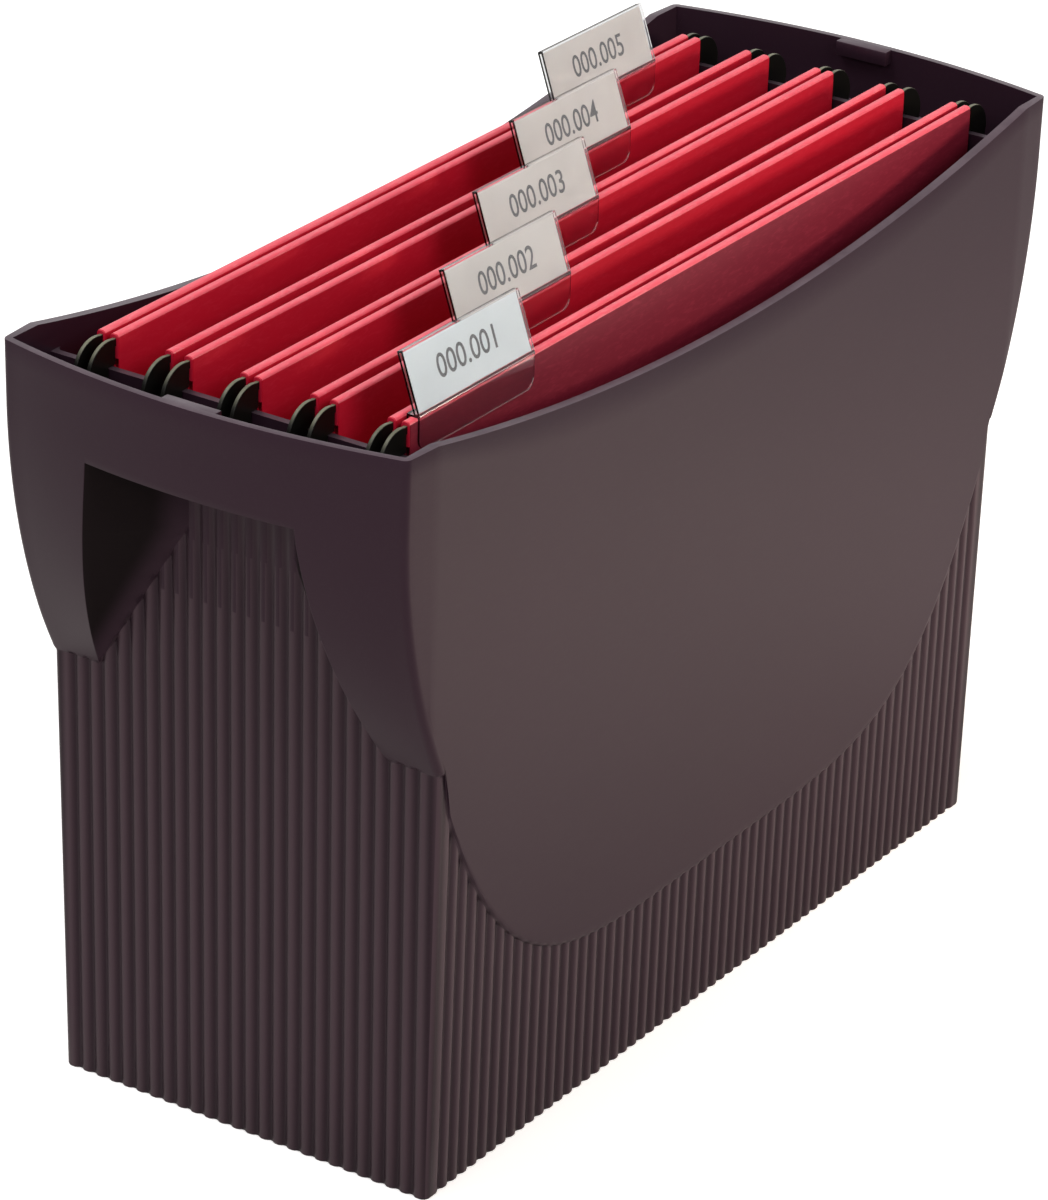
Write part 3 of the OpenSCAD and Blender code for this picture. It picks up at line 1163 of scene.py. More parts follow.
    def row_z(self, x: float, row: float) -> float:
        """Height of a row at x, before it is brought to the corner's height.

        Args:
            x: Place along the box.
            row: Height of the row at the corner.

        Returns:
            The height.
        """
        if row <= self.foot_round:
            return row
        if row <= self.tip_height:
            share = (row - self.foot_round) / (self.tip_height - self.foot_round)
            return between(self.foot_round, self.apron_z(x), share)
        share = (row - self.tip_height) / (self.rim_height - self.tip_height)
        return between(self.apron_z(x), self.rim_z(x), share)

    def side_point(self, x: float, row: float) -> Point:
        """Point of the long side in one row at x.

        Args:
            x: Place along the box.
            row: Height of the row at the corner.

        Returns:
            The point.
        """
        crease, centre = self.crease(row), self.arc_centre(row)[0]
        inner = min(abs(x), crease)
        share = max(0.0, (inner - self.side_fine) / (crease - self.side_fine))
        z = self.row_z(inner, row) + (row - self.row_z(crease, row)) * share
        rest = 1 - self.step(row)
        y = self.side_y(z) - rest * (self.apron_proud + self.groove(x, self.side_grooves)) - self.foot(z)
        if x > crease:
            y = between(y, self.half_width(row) - self.foot(z), (x - crease) / (centre - crease))
        return (x, y, z)

    def arc_points(self, row: float) -> Line:
        """Points of the rounded corner in one row, from the long side to the end."""
        centre, r = self.arc_centre(row), self.corner_r - self.foot(row)
        return [(*circle_point(centre, r, a), row) for a in range(90, -1, -TURN)]

    def wall_point(self, y: float, z: float) -> Point:
        """Point of the ribbed end wall."""
        top = smooth((self.arch_top - z) / self.rib_fade)
        return (self.wall_x(z) - self.groove(y, self.end_grooves) * top - self.foot(z), y, z)

    def wall_line(self, row: float) -> Line:
        """Points of the end wall in one row, from its last column to the middle."""
        edge = self.arc_centre(row)[1] - self.corner_clear
        return [self.wall_point(y, row) for y in reversed(self.end_columns) if y < edge]

    def flare_point(self, y: float, z: float) -> Point:
        """Point of the flare's outer face, where the ribs fade just above the tips."""
        fade = 1 - smooth((z - self.tip_height) / self.step_half)
        return (self.end_x(y, z) - self.groove(y, self.end_grooves) * fade, y, z)

    def limb_shares(self) -> list[float]:
        """Places of the limb's columns between corner and arch, as shares, at the tips' height.

        Returns:
            Shares from 1 at the corner to 0 at the arch.
        """
        outer = self.arc_centre(self.tip_height)[1]
        inner = self.grip_half_tip
        ys = [y for y in self.end_columns if inner + SAME < y < outer - self.corner_clear]
        return [1.0] + [(y - inner) / (outer - inner) for y in reversed(ys)] + [0.0]

    def limb_line(self, z: float) -> Line:
        """Points of the limb in one row, from the corner to the arch's edge."""
        inner, outer = self.arch_half(z), self.arc_centre(z)[1]
        return [self.flare_point(between(inner, outer, t), z) for t in self.limb_shares()]

    def pocket_columns(self) -> list[float]:
        """Columns of the end wall inside the pocket's narrow part, from its side to the middle."""
        return [y for y in reversed(self.end_columns) if y < self.pocket_half_top + SAME]

    def return_line(self, z: float) -> Line:
        """Points of the pocket's side in one row, from the end wall to the arch's edge.

        Args:
            z: Height of the row.

        Returns:
            The points in order.
        """
        start = self.wall_point(self.pocket_half(z), z)
        flat = smooth((z - self.tip_height) / self.return_start)
        level = (between(start[0], self.wall_x(z) - self.foot(z), flat), *start[1:])
        end = self.flare_point(self.arch_half(z), z)
        deep = max(0.001, end[0] - level[0])
        lip = 1 - min(self.lip_most, self.wall / deep)
        return [start] + [blend(level, end, t) for t in (*self.return_columns, lip, 1)]

    def outer_skin(self) -> Skin:
        """Builds the closed outer body, still solid inside.

        Returns:
            The skin of the whole box.
        """
        skin = Skin()
        low = [r for r in self.rows if r <= self.tip_height + self.step_half + SAME]
        high = [r for r in self.rows if r >= self.tip_height + self.step_half - SAME]
        skin.grid([[self.side_point(x, r) for x in self.side_columns(r, True)] for r in low])
        self.comb(skin, high[0], high[1])
        skin.grid([[self.side_point(x, r) for x in self.side_columns(r, False)] for r in high[1:]])
        skin.grid([self.arc_points(r) for r in self.rows])
        self.end_wall(skin)
        self.flare(skin)
        self.pocket(skin)
        self.caps(skin)
        skin.mirrored(0)
        skin.mirrored(1)
        return skin

    def comb(self, skin: Skin, low: float, high: float) -> None:
        """Joins the fine columns of one row to the coarse columns of the next.

        Args:
            skin: The skin under construction.
            low: Row with all columns.
            high: Row with one column a rib.
        """
        fine, coarse = self.side_columns(low, True), self.side_columns(high, False)
        below = self.side_columns(low, False)
        for i in range(len(coarse) - 1):
            teeth = [x for x in fine if below[i] - SAME <= x <= below[i + 1] + SAME]
            upper = [self.side_point(coarse[i + 1], high), self.side_point(coarse[i], high)]
            skin.face([self.side_point(x, low) for x in teeth] + upper)

    def end_wall(self, skin: Skin) -> None:
        """Adds the ribbed end wall: full below the tips, narrowing above them.

        Args:
            skin: The skin under construction.
        """
        lines = []
        for row in self.rows:
            if row <= self.tip_height + SAME:
                outer = self.arc_centre(row)[1]
                lines.append([self.wall_point(outer, row)] + self.wall_line(row))
        skin.grid(lines)
        above = [r for r in self.rows if self.tip_height - SAME <= r <= self.arch_top + SAME]
        for a, b in zip(above, above[1:]):
            wide, narrow = self.pocket_half(a), self.pocket_half(b)
            inside = [y for y in self.end_columns if y < narrow - self.near] + [narrow]
            skin.grid([[self.wall_point(y, a) for y in inside], [self.wall_point(y, b) for y in inside]])
            if wide > narrow:
                rest = [y for y in self.end_columns if narrow + self.near < y < wide - self.near]
                teeth = [self.wall_point(y, a) for y in [narrow] + rest + [wide]]
                skin.face([self.wall_point(narrow, b)] + teeth)

    def flare(self, skin: Skin) -> None:
        """Adds the flare's outer face with its limbs.

        Args:
            skin: The skin under construction.
        """
        rows = [r for r in self.rows if r >= self.tip_height - SAME]
        skin.grid([self.limb_line(r) for r in rows])
        share = self.grip_half_top / self.pocket_half_top
        middle = [y * share for y in self.pocket_columns()]
        upper = [r for r in rows if r >= self.arch_top - SAME]
        skin.grid([[self.flare_point(y, r) for y in middle] for r in upper])
        arch = [self.limb_line(r)[-1] for r in rows if r <= self.arch_top + SAME]
        skin.round_off(arch)
        skin.round_off([self.flare_point(y, self.arch_top) for y in middle])

    def pocket(self, skin: Skin) -> None:
        """Adds the finger pocket behind the arch.

        Args:
            skin: The skin under construction.
        """
        rows = [r for r in self.rows if self.tip_height - SAME <= r <= self.arch_top + SAME]
        skin.grid([self.return_line(r) for r in rows])
        side = self.return_line(self.arch_top)
        lip = side[-2]
        columns = self.pocket_columns()
        shares = [y / self.pocket_half_top for y in columns]
        outer = [self.flare_point(s * self.grip_half_top, self.arch_top) for s in shares]
        inner = [(p[0] - (side[-1][0] - lip[0]), s * lip[1], self.arch_top) for p, s in zip(outer, shares)]
        skin.grid([outer, inner])
        top = self.pocket_top
        wall_low = [self.wall_point(y, self.arch_top) for y in columns]
        wall_high = [(self.wall_x(top), y, top) for y in columns]
        inner_high = [(p[0], p[1], top) for p in inner]
        skin.grid([wall_low, wall_high])
        skin.grid([inner, inner_high])
        reach = lip[0] - side[0][0]
        ceiling = []
        for p in side[:-1]:
            t = (p[0] - side[0][0]) / reach
            ceiling.append([blend(w, f, t) for w, f in zip(wall_high, inner_high)])
        skin.grid(ceiling)
        skin.grid([side[:-1], [line[0] for line in ceiling]])

    def caps(self, skin: Skin) -> None:
        """Adds the foot and the solid top, which the cutters open later.

        Args:
            skin: The skin under construction.
        """
        base = [self.side_point(x, 0.0) for x in self.side_columns(0.0, True)]
        skin.face(base + self.arc_points(0.0)[1:] + self.wall_line(0.0) + [(0.0, 0.0, 0.0)])
        rim = self.rim_height
        columns = self.side_columns(rim, False)
        crease = self.crease(rim)
        along = [self.side_point(x, rim) for x in columns]
        inner = [p for p in along if p[0] <= crease + SAME]
        skin.grid([inner, [(p[0], 0.0, p[2]) for p in inner]])
        share = self.grip_half_top / self.pocket_half_top
        end = [p for p in along if p[0] >= crease - SAME]
        end += self.arc_points(rim)[1:] + self.limb_line(rim)[1:]
        end += [self.flare_point(y * share, rim) for y in self.pocket_columns()][1:]
        skin.face(end + [(inner[-1][0], 0.0, rim)])
        skin.round_off(inner + end[1:])

    def inner_line(self, z: float, first: float, last: float, steps: int) -> Line:
        """Points along the inner face of the flare at height z, from one y to another."""
        return [(self.end_x(y, z) - self.wall, y, z) for y in spread(first, last, steps)]

    def tub(self) -> list[Line]:
        """Lays out the space between the walls, with a fillet round the floor.

        Returns:
            Its rings from below.
        """
        rings = []
        for z, inset in (*self.floor_fillet, (self.rim_height + self.tub_over - self.floor_t, 0.0)):
            height = self.floor_t + z
            x = self.wall_x(height) - self.wall - inset
            y = self.side_y(height) - self.side_wall - inset
            rings.append(rounded_ring(x, y, height, self.corner_r))
        return rings

    def mouth(self) -> list[Line]:
        """Lays out the open space above the rails, out to the inside of both flares.

        Returns:
            Its rings from below.
        """
        rings = []
        for z in (self.rail_height, self.rim_height + self.mouth_over):
            half = self.side_y(z) - self.side_wall
            line = self.inner_line(z, -half, half, self.flare_columns)
            rings.append(line + [(-x, -y, h) for x, y, h in line])
        return rings

    def trench(self) -> list[Line]:
        """Lays out the trench between end wall and flare, beside the pocket's side of high Y.

        Returns:
            Its rings from below, at the end of high X.
        """
        rings = []
        start = self.tip_height
        while self.flare_x(start) - self.wall - self.wall_x(start) < self.trench_gap:
            start += self.trench_clear
        for z in spread(start, self.ledge_top, self.trench_rows):
            outer = self.side_y(z) - self.side_wall
            near, far = self.trench_edge(z)
            line = self.inner_line(z, min(far, outer - self.trench_clear), outer, self.trench_columns)
            inner = min(near, outer - self.trench_clear - self.corner_clear)
            rings.append([(self.wall_x(z), inner, z)] + line + [(self.wall_x(z), outer, z)])
        return rings

    def trench_edge(self, z: float) -> Span:
        """Finds the trench's edge along the pocket's side at height z.

        Args:
            z: The height.

        Returns:
            Its y at the end wall and at the inner face of the flare.
        """
        reach = max(self.trench_clear, self.end_x(self.arch_half(z), z) - self.wall_x(z))
        lean = (self.arch_half(z) - self.pocket_half(z)) / reach
        near = self.pocket_half(z) + self.trench_side * self.wall
        far = near
        for _ in range(self.edge_tries):
            far = near + lean * (self.end_x(far, z) - self.wall - self.wall_x(z))
        return near, far

    def saddle(self) -> list[Line]:
        """Lays out the upper trench at high X, above the block that houses the pocket.

        Returns:
            Its rings from below.
        """
        rings = []
        for z in (self.ledge_top - self.near, self.rail_height + self.trench_clear):
            half = self.side_y(z) - self.side_wall
            line = self.inner_line(z, -half, half, self.flare_columns)
            rings.append(line + [(self.wall_x(z), half, z), (self.wall_x(z), -half, z)])
        return rings

    def pad(self) -> list[Line]:
        """Lays out the thick pad at high X, under the middle of the end rim.

        Returns:
            Its rings from below.
        """
        x0 = self.end_x(0, self.rim_height) - self.wall - self.pad_depth
        x1 = x0 + self.pad_depth + self.wall / 2
        half, top = self.pad_width / 2, self.rim_height - self.sunk
        ring = [(x0, -half), (x1, -half), (x1, half), (x0, half)]
        return [[(x, y, z) for x, y in ring] for z in (top - self.pad_height, top)]

    def build(self) -> bpy.types.Object:
        """Builds the moulded box and puts it in place of its CAD node.

        Returns:
            The piece.
        """
        shell = self.outer_skin().build("moulded_box")
        bevel(shell, self.edge_round, marked_only=True)
        carve(shell, lofted("tub", self.tub()))
        carve(shell, lofted("mouth", self.mouth()))
        for sx in (-1, 1):
            carve(shell, lofted("saddle", turned(self.saddle(), sx)))
            for sy in (1, -1):
                carve(shell, lofted("trench", turned(self.trench(), sx, sy)))
        for sx in (-1, 1):
            pad = lofted("pad", turned(self.pad(), sx))
            bevel(pad, self.edge_round, marked_only=False)
            carve(shell, pad, join=True)
        soften(shell)
        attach(shell, "box")
        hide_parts("box")
        return shell

    def dress(self, piece: bpy.types.Object, materials: dict[str, bpy.types.Material]) -> None:
        """Gives the moulding its finish, with a rougher one in the finger pockets that carries painted shade,
        and one on the ribs that carries painted highlights and shade.

        Args:
            piece: The moulding.
            materials: The finishes by name.
        """
        coat(piece, materials["shell"], materials["recess_shade"], materials["ribs"])
        groove = self.groove_depth + self.skin_clear
        for face in piece.data.polygons:
            x, y, z = (abs(v) / MM for v in face.center)
            arch, corner = min(z, self.arch_top), self.arc_centre(min(z, self.tip_height))[0] + self.corner_r
            grip = self.tip_height < z < self.pocket_top + self.corner_clear
            grip = grip and y < self.arch_half(arch) - self.sunk
            behind = self.wall_x(z) + self.wall_skin < x < self.end_x(y, z) - self.flare_skin
            on_end = x > self.wall_x(z) - groove and (z < self.tip_height or grip)
            on_side = y > self.side_y(z) - self.apron_proud - groove and z < self.apron_z(x)
            # Faces in the finger pocket take the painted shade; faces on the ribs take the painted rib light.
            if grip and behind:
                face.material_index = 1
            elif (on_end or on_side) and x < corner + self.row_clear:
                face.material_index = 2


@dataclass(frozen=True)
class Lamp:
    """Soft lamp.

    Attributes:
        name: Its name.
        place: Where it hangs, in metres.
        aim: The point it faces, in metres.
        size: Its width and height in metres.
        power: Its power in watts.
        colour: Its colour, linear.
    """

    name: str
    place: Point
    aim: Point
    size: Span
    power: float
    colour: Colour

    def build(self) -> None:
        """Hangs the lamp."""
        data = bpy.data.lights.new(self.name, "AREA")
        data.shape = "RECTANGLE"
        data.size, data.size_y = self.size
        data.energy = self.power
        data.color = self.colour
        lamp = placed(self.name, data)
        lamp.location = self.place
        lamp.rotation_euler = (Vector(self.aim) - Vector(self.place)).to_track_quat("-Z", "Y").to_euler()


LAMPS = (
    Lamp("top", (-0.5, 0.8, 2.3), (0, 0, 0.2), (1.4, 1.0), 34.0, (1.0, 0.98, 0.96)),
    Lamp("front", (-0.6, -1.9, 1.7), (-0.1, 0, 0.2), (1.0, 0.8), 19.0, (1.0, 0.97, 0.95)),
    Lamp("pool", (0.22, -0.44, 0.36), (0.21, -0.30, 0.0), (0.14, 0.12), 1.6, (1.0, 0.82, 0.66)),
    Lamp("left", (-1.5, -0.2, 1.3), (0, 0, 0.2), (0.7, 0.4), 7.0, (1.0, 0.94, 0.92)),
)


@dataclass
class Studio:
    """Camera, floor and lights.

    Attributes:
        azimuth: Direction of the camera round Z, in degrees from low Y.
        elevation: Its height above the horizon, in degrees.
        roll: Its turn about the line of sight, in degrees.
        distance: Its distance from the target, in metres.
        focal_pixels: Its focal length in pixels of the photo.
        photo_height: Height of the photo in pixels.
        target: The point it faces, in metres.
        sensor: Width of its sensor in millimetres.
        clip: Nearest and furthest distance it sees, in metres.
        floor_half: Half the floor's width, in metres.
        floor_colour: Colour that the floor throws back on the object, linear.
        floor_roughness: Roughness of the floor.
        floor_glow: The floor's own light near the object, as the camera sees it.
        glow_reach: Distances, in metres, where that light starts to rise and where it is 1.
        floor_gloss: Share of white that the floor has in reflections.
        sky: Strength of the world's light on the object.
    """

    azimuth: float = -56.65
    elevation: float = 25.82
    roll: float = 1.58
    distance: float = 1.8278
    focal_pixels: float = 5605.5
    photo_height: float = 1200.0
    target: Point = (-0.01128, 0.0, 0.12685)
    sensor: float = 36.0
    clip: Span = (0.05, 50.0)
    floor_half: float = 8.0
    floor_colour: Colour = (0.62, 0.58, 0.56)
    floor_roughness: float = 0.9
    floor_glow: float = 0.35
    glow_reach: Span = (0.5, 2.5)
    floor_gloss: float = 0.25
    sky: float = 0.32

    def camera(self) -> None:
        """Makes the camera at the photograph's view."""
        a, e, r = (math.radians(v) for v in (self.azimuth, self.elevation, self.roll))
        back = Vector((math.sin(a) * math.cos(e), -math.cos(a) * math.cos(e), math.sin(e)))
        right = Vector((0, 0, 1)).cross(back).normalized()
        up = back.cross(right)
        level, plumb = math.cos(r) * right + math.sin(r) * up, math.cos(r) * up - math.sin(r) * right
        data = bpy.data.cameras.new("camera")
        data.sensor_width = self.sensor
        data.lens = self.focal_pixels / self.photo_height * self.sensor
        data.clip_start, data.clip_end = self.clip
        camera = placed("camera", data)
        turn = Matrix((level, plumb, back)).transposed().to_4x4()
        camera.matrix_world = Matrix.Translation(Vector(self.target) + back * self.distance) @ turn
        bpy.context.scene.camera = camera

    def bright(self, graph: Graph, gloss: float) -> bpy.types.NodeSocket:
        """Marks the rays of the camera, of reflections and of clear plastic.

        Args:
            graph: Tree of the floor's material or of the world.
            gloss: What it gives for rays of reflections.

        Returns:
            A socket that is 1 for rays of the camera and of clear plastic.
        """
        path = graph.node("ShaderNodeLightPath").outputs
        seen = graph.math("MULTIPLY_ADD", path["Is Glossy Ray"], gloss, path["Is Camera Ray"])
        return graph.math("MAXIMUM", seen, path["Is Transmission Ray"])

    def floor(self) -> None:
        """Makes the plain pale floor, which keeps the object's shadow."""
        h = self.floor_half
        mesh = bpy.data.meshes.new("floor")
        mesh.from_pydata([(-h, -h, 0), (h, -h, 0), (h, h, 0), (-h, h, 0)], [], [(0, 1, 2, 3)])
        floor = placed("floor", mesh)
        made = bpy.data.materials.new("pale_floor")
        made.use_nodes = True
        graph = Graph(made.node_tree)
        away = graph.node("ShaderNodeVectorMath", operation="LENGTH", Vector=graph.here())
        near, far = self.glow_reach
        level = graph.ramp(away.outputs["Value"], From_Min=near, From_Max=far, To_Min=self.floor_glow)
        seen = graph.node("ShaderNodeLightPath").outputs["Is Camera Ray"]
        bright = self.bright(graph, self.floor_gloss)
        graph.fill(
            "Principled BSDF",
            Base_Color=graph.mix(bright, opaque(self.floor_colour), opaque(WHITE)),
            Roughness=self.floor_roughness,
            Specular_IOR_Level=0.0,
            Emission_Color=opaque(WHITE),
            Emission_Strength=graph.math("MULTIPLY", seen, level),
        )
        coat(floor, made)

    def world(self) -> None:
        """Makes the white world, whose light on the object is dimmer than it looks."""
        world = bpy.data.worlds.new("studio")
        world.use_nodes = True
        graph = Graph(world.node_tree)
        strength = graph.ramp(self.bright(graph, 1.0), To_Min=self.sky)
        graph.fill("Background", Color=opaque(WHITE), Strength=strength)
        bpy.context.scene.world = world

    def build(self) -> None:
        """Sets up camera, floor, lamps and world."""
        self.camera()
        self.floor()
        for lamp in LAMPS:
            lamp.build()
        self.world()


class Side(Enum):
    """The two leaves of a file, by the side they face."""

    REAR = 1
    FRONT = -1

    @property
    def word(self) -> str:
        """The side's word in the names of nodes."""
        return self.name.lower()


@dataclass
class HangingFile:
    """One hanging file: two leaves whose tops wrap the rods, hooks, clear tab and numbered label.

    Lengths are millimetres and angles degrees. A size that the CAD source has too stands under the
    same name and is the same. Sizes that end in rows or columns count the faces of a stretch.
    long_wave, short_wave and wave_lean are the angles, in radians a millimetre, by which the
    ripple of a leaf turns along it and up it.
    """

    number: int
    rail_spacing: float = 330.0
    rail_height: float = 249.5
    file_pitch: float = 26.7
    file_shift: float = -1.0
    gap_closed: float = 5.0
    gap_loose: float = 7.2
    file_height: float = 243.5
    rod_above_rail: float = 10.0
    rod_end_gap: float = 2.0
    rod_t: float = 2.8
    rod_h: float = 7.6
    rod_round: float = 1.0
    card_t: float = 0.5
    wrap_t: float = 0.2
    thin_length: float = 12.0
    hem_length: float = 9.0
    hem_rest: float = 1.6
    hem_rows: int = 5
    fold_start: float = 0.3
    fold_turn: int = 12
    rod_turn: int = 18
    lean_length: float = 95.0
    card_inset_top: float = 0.4
    card_inset_foot: float = 1.8
    scores: int = 4
    score_pitch: float = 9.0
    score_depth: float = 0.16
    score_half: float = 0.5
    score_clear: float = 4.0
    leaf_rows: int = 26
    leaf_columns: int = 36
    ripple: float = 0.14
    long_wave: float = 0.021
    short_wave: float = 0.047
    wave_lean: float = 0.02
    top_share: float = 0.55
    flat_angle: float = 0.5
    hook_round: float = 0.3
    tab_length: float = 60.0
    tab_start: float = 4.0
    tab_step: float = 58.0
    tab_height: float = 20.3
    tab_lean: float = 19.0
    tab_t: float = 0.7
    tab_clear: float = 0.25
    tab_round: float = 0.12
    label_clear: float = 0.15
    digit_height: float = 7.4
    digit_share: float = 0.7
    number_width: float = 30.0
    stroke_gain: float = 0.006
    ink_t: float = 0.03

    def __post_init__(self) -> None:
        """Works out the places that follow from the sizes."""
        self.centre = (self.number - (FILES + 1) / 2) * self.file_pitch + self.file_shift
        self.half_gap = (self.gap_loose if self.number % 2 == 0 else self.gap_closed) / 2
        self.rod_top = self.rail_height + self.rod_above_rail
        self.rod_half = self.rail_spacing / 2 - self.rod_end_gap
        self.foot = self.rod_top - self.file_height
        self.bend_z = self.foot + self.card_t / 2 + self.half_gap
        self.lip = self.rod_top - self.rod_h
        self.tab_x = self.tab_start + self.tab_length / 2 - self.rod_half + (self.number - 1) * self.tab_step

    def node(self, part: str) -> bpy.types.Object:
        """The CAD node of one part of this file."""
        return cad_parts[f"file_{self.number}_{part}"]

    def body(self, side: Side) -> str:
        """Name of the body that a leaf moves with."""
        return f"file_{self.number}" + ("_front" if side is Side.FRONT else "")

    def face_out(self, z: float) -> float:
        """Outward offset of a leaf's face at height z, where it leans out to the rod's cover."""
        cover = self.rod_t / 2 + self.wrap_t
        return between(self.card_t / 2, cover, smooth(1 - (self.lip - z) / self.lean_length))

    def leaf_path(self, side: Side) -> Line:
        """Lays out a leaf from its foot, over the rod and down again inside.

        Args:
            side: The leaf.

        Returns:
            Points as outward offset from the leaf's plane, height, and thickness.
        """
        path = []
        if side is Side.REAR:
            for a in range(0, 180, self.fold_turn):
                out, z = circle_point((self.half_gap, self.bend_z), self.half_gap, -a)
                path.append((-out, z, self.card_t))
        else:
            path.append((0.0, self.bend_z + self.fold_start, self.card_t))
        scores = [self.foot + self.score_pitch * (k + 1) for k in range(self.scores)]
        for z in scores:
            path.append((0.0, z - self.score_half, self.card_t))
            path.append((-self.score_depth, z, self.card_t))
            path.append((0.0, z + self.score_half, self.card_t))
        for z in spread(scores[-1] + self.score_clear, self.lip, self.leaf_rows):
            thick = between(self.card_t, self.wrap_t, smooth(1 - (self.lip - z) / self.thin_length))
            path.append((self.face_out(z) - thick / 2, z, thick))
        turn = self.rod_round + self.wrap_t / 2
        reach = (self.rod_t + self.wrap_t) / 2
        for flip, start in ((1, 0), (-1, 90)):
            for a in range(start, start + 91, self.rod_turn):
                centre = (flip * (reach - turn), self.rod_top - self.rod_round)
                path.append((*circle_point(centre, turn, a), self.wrap_t))
        for t in spread(0.0, 1.0, self.hem_rows):
            z = self.lip - self.hem_length * t
            rest = self.face_out(z) - self.card_t - self.wrap_t
            path.append((between(-reach, rest, smooth(self.hem_rest * t)), z, self.wrap_t))
        return path

    def leaf(self, side: Side) -> bpy.types.Object:
        """Builds one leaf as a thin folded sheet.

        Args:
            side: The leaf.

        Returns:
            The piece, still without a finish.
        """
        path = self.leaf_path(side)
        skin = Skin()
        outer, inner = [], []
        for j, (out, z, t) in enumerate(path):
            a, b = path[max(0, j - 1)], path[min(len(path) - 1, j + 1)]
            run, rise = b[0] - a[0], b[1] - a[1]
            length = math.hypot(run, rise)
            across, lift = rise / length * t / 2, -run / length * t / 2
            outer.append(self.leaf_row(side, out + across, z + lift, out, z))
            inner.append(self.leaf_row(side, out - across, z - lift, out, z))
        skin.grid(outer)
        skin.grid([row[::-1] for row in inner])
        skin.grid([outer[0][::-1], inner[0][::-1]])
        skin.grid([outer[-1], inner[-1]])
        for i in (0, -1):
            skin.grid([[row[i] for row in outer], [row[i] for row in inner]])
        piece = skin.build(f"file_{self.number}_{side.word}_leaf")
        soften(piece, 50)
        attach(piece, self.body(side))
        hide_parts(f"file_{self.number}_{side.word}_card")
        return piece

    def leaf_row(self, side: Side, out: float, z: float, plane: float, level: float) -> Line:
        """Points of one row of a leaf.

        Args:
            side: The leaf.
            out: Outward offset of the row.
            z: Height of the row.
            plane: Outward offset of the sheet's middle, for the ripple.
            level: Height of the sheet's middle, for the ripple.

        Returns:
            The points from left to right.
        """
        share = clamped((level - self.foot) / (self.rod_top - self.foot))
        half = self.rod_half - between(self.card_inset_foot, self.card_inset_top, share)
        free = level < self.lip and plane > -self.score_half
        ripple = self.ripple * (math.sin(math.pi * share) ** 2 if free else 0.0)
        row = []
        for x in spread(-half, half, self.leaf_columns):
            y = self.centre + side.value * (self.half_gap + out + ripple * self.wave(side, x, level))
            row.append((x, y, z))
        return row

    def wave(self, side: Side, x: float, z: float) -> float:
        """Slow wave of a leaf at x and z, between -1.5 and 1.5.

        Args:
            side: The leaf.
            x: Place along the leaf.
            z: Height.

        Returns:
            The wave's value there.
        """
        phase = self.number * 1.7 + (0.9 if side is Side.FRONT else 0.0)
        short = math.sin(x * self.short_wave + z * self.wave_lean + phase * 5.1)
        return math.sin(x * self.long_wave + phase * 2.3) + 0.5 * short

    def copied(self, part: str, name: str, body: str, rounding: float) -> bpy.types.Object:
        """Builds a piece from a CAD node's form, with its flat faces joined and its edges rounded.

        Args:
            part: Part of the file in the node's name.
            name: Name of the piece.
            body: Body that it moves with.
            rounding: Width of the edge rounding in millimetres.

        Returns:
            The piece.
        """
        source = self.node(part)
        work = bmesh.new()
        work.from_mesh(source.data)
        bmesh.ops.remove_doubles(work, verts=work.verts, dist=0.001 * MM)
        flat = math.radians(self.flat_angle)
        bmesh.ops.dissolve_limit(work, angle_limit=flat, verts=work.verts, edges=work.edges)
        bmesh.ops.recalc_face_normals(work, faces=work.faces)
        mesh = bpy.data.meshes.new(name)
        work.to_mesh(mesh)
        work.free()
        for stored in [a for a in mesh.attributes if a.name == "custom_normal"]:
            mesh.attributes.remove(stored)
        mesh.shade_flat()
        piece = placed(name, mesh)
        bevel(piece, rounding, marked_only=False)
        if part != "tab":
            soften(piece, 60, flat_faces=True)
        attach(piece, body)
        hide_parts(f"file_{self.number}_{part}")
        return piece

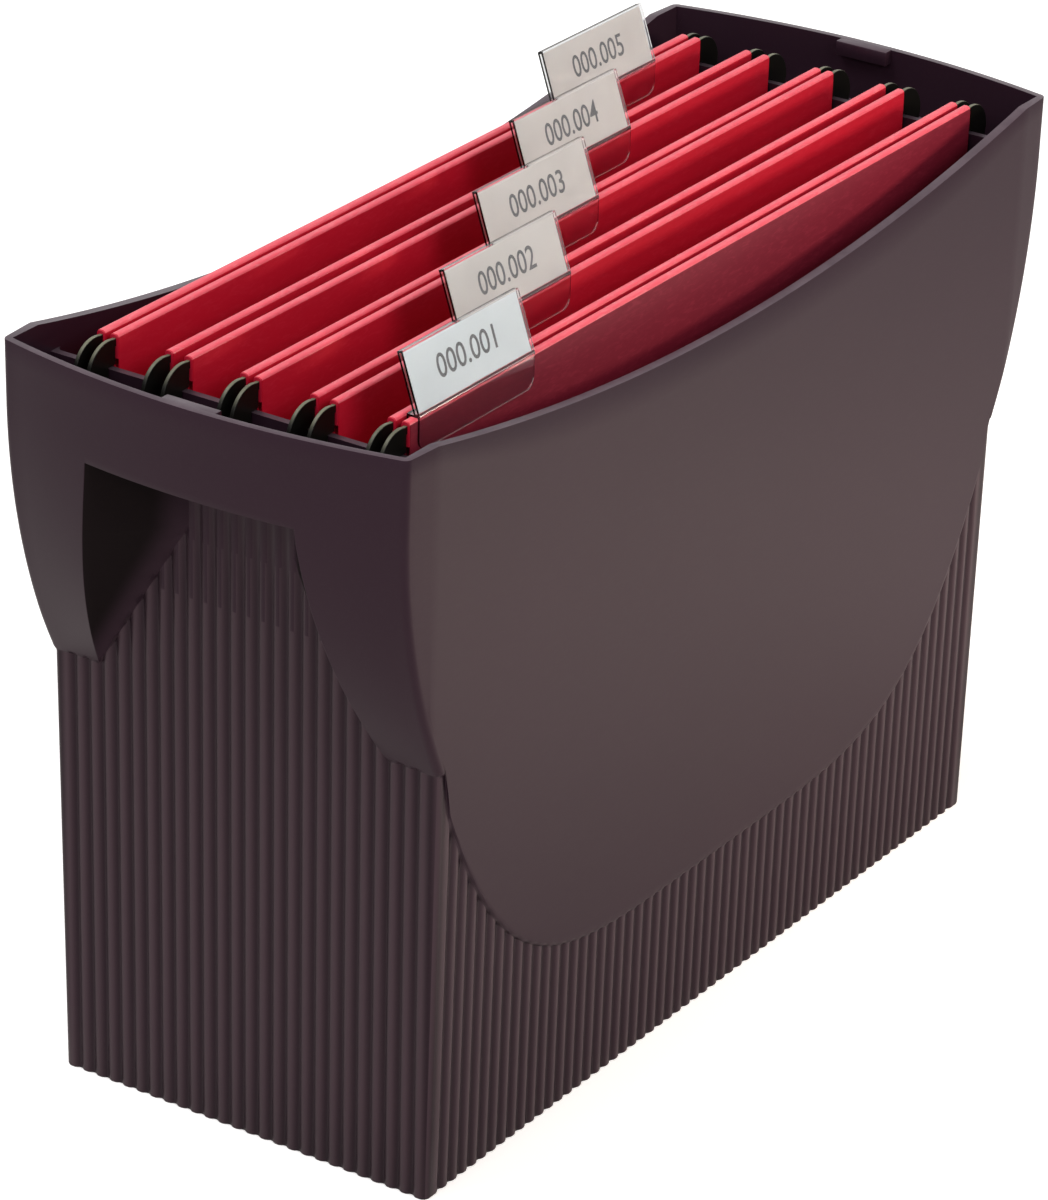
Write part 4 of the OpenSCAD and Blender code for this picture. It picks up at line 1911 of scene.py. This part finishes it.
    def digits(self) -> bpy.types.Object:
        """Prints the plain number on the label.

        Returns:
            The piece: thin raised ink, in front of the paper.
        """
        lean = math.radians(self.tab_lean)
        back, up = Vector((0, math.cos(lean), -math.sin(lean))), Vector((0, math.sin(lean), math.cos(lean)))
        rise = self.tab_clear + self.tab_t
        out = self.half_gap + self.rod_t / 2 + rise
        start = Vector((self.tab_x, self.centre - out, self.rod_top + rise))
        middle = start + up * (self.tab_height / 2) + back * (self.tab_t + self.label_clear - self.ink_t)
        curve = bpy.data.curves.new(f"file_{self.number}_digits", "FONT")
        curve.body = f"000.{self.number:03d}"
        curve.align_x, curve.align_y = "CENTER", "CENTER"
        curve.size = self.digit_height / self.digit_share * MM
        curve.extrude = self.ink_t / 2 * MM
        curve.offset = self.stroke_gain * curve.size
        curve.resolution_u = 4
        holder = placed("digits_curve", curve)
        bpy.context.view_layer.update()
        mesh = bpy.data.meshes.new_from_object(holder.evaluated_get(bpy.context.evaluated_depsgraph_get()))
        bpy.data.objects.remove(holder)
        turn = Matrix((Vector((1, 0, 0)), up, -back)).transposed().to_4x4()
        reach = [v.co.x for v in mesh.vertices]
        narrow = self.number_width * MM / (max(reach) - min(reach))
        mesh.transform(Matrix.Translation(middle * MM) @ turn @ Matrix.Diagonal((narrow, 1, 1, 1)))
        piece = placed(f"file_{self.number}_digits", mesh)
        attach(piece, f"file_{self.number}_label")
        return piece

    def build(self, materials: dict[str, bpy.types.Material]) -> list[bpy.types.Object]:
        """Builds and dresses the whole file.

        Args:
            materials: The finishes by name.

        Returns:
            The new pieces.
        """
        made = []
        top = (self.rod_top - self.top_share * self.rod_round) * MM
        for side in Side:
            leaf = self.leaf(side)
            # The first file's front leaf takes the darker card as painted shade.
            painted_shade_leaf = self.number == 1 and side is Side.FRONT
            coat(leaf, materials["front_card" if painted_shade_leaf else "card"], materials["fold"])
            # Faces on the folded top edge take the painted highlight.
            for face in leaf.data.polygons:
                if face.center.z > top:
                    face.material_index = 1
            name = f"file_{self.number}_{side.word}_blades"
            hooks = self.copied(f"{side.word}_hooks", name, self.body(side), self.hook_round)
            coat(hooks, materials["hook"])
            coat(self.node(f"{side.word}_rod"), materials["rod"])
            made += [leaf, hooks]
        tab = self.copied("tab", f"file_{self.number}_clip", f"file_{self.number}_tab", self.tab_round)
        coat(tab, materials["clear"])
        digits = self.digits()
        coat(digits, materials["ink"])
        coat(self.node("label"), materials["fresh" if self.number == 1 else "paper"])
        return made + [tab, digits]


def main() -> None:
    """Builds every piece in order and reports it."""
    logging.basicConfig(level=logging.INFO, format="%(message)s")
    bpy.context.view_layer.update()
    bpy.context.scene.view_settings.view_transform = "Standard"
    effects = Effects()
    materials = {name: finish.material(effects) for name, finish in FINISHES.items()}
    Studio().build()
    moulding = MouldedBox()
    box = moulding.build()
    moulding.dress(box, materials)
    LOG.info("moulded box: %d faces", len(box.data.polygons))
    for number in range(1, FILES + 1):
        for piece in HangingFile(number).build(materials):
            LOG.info("%s: %d faces", piece.name, len(piece.data.polygons))


if __name__ == "__main__":
    main()
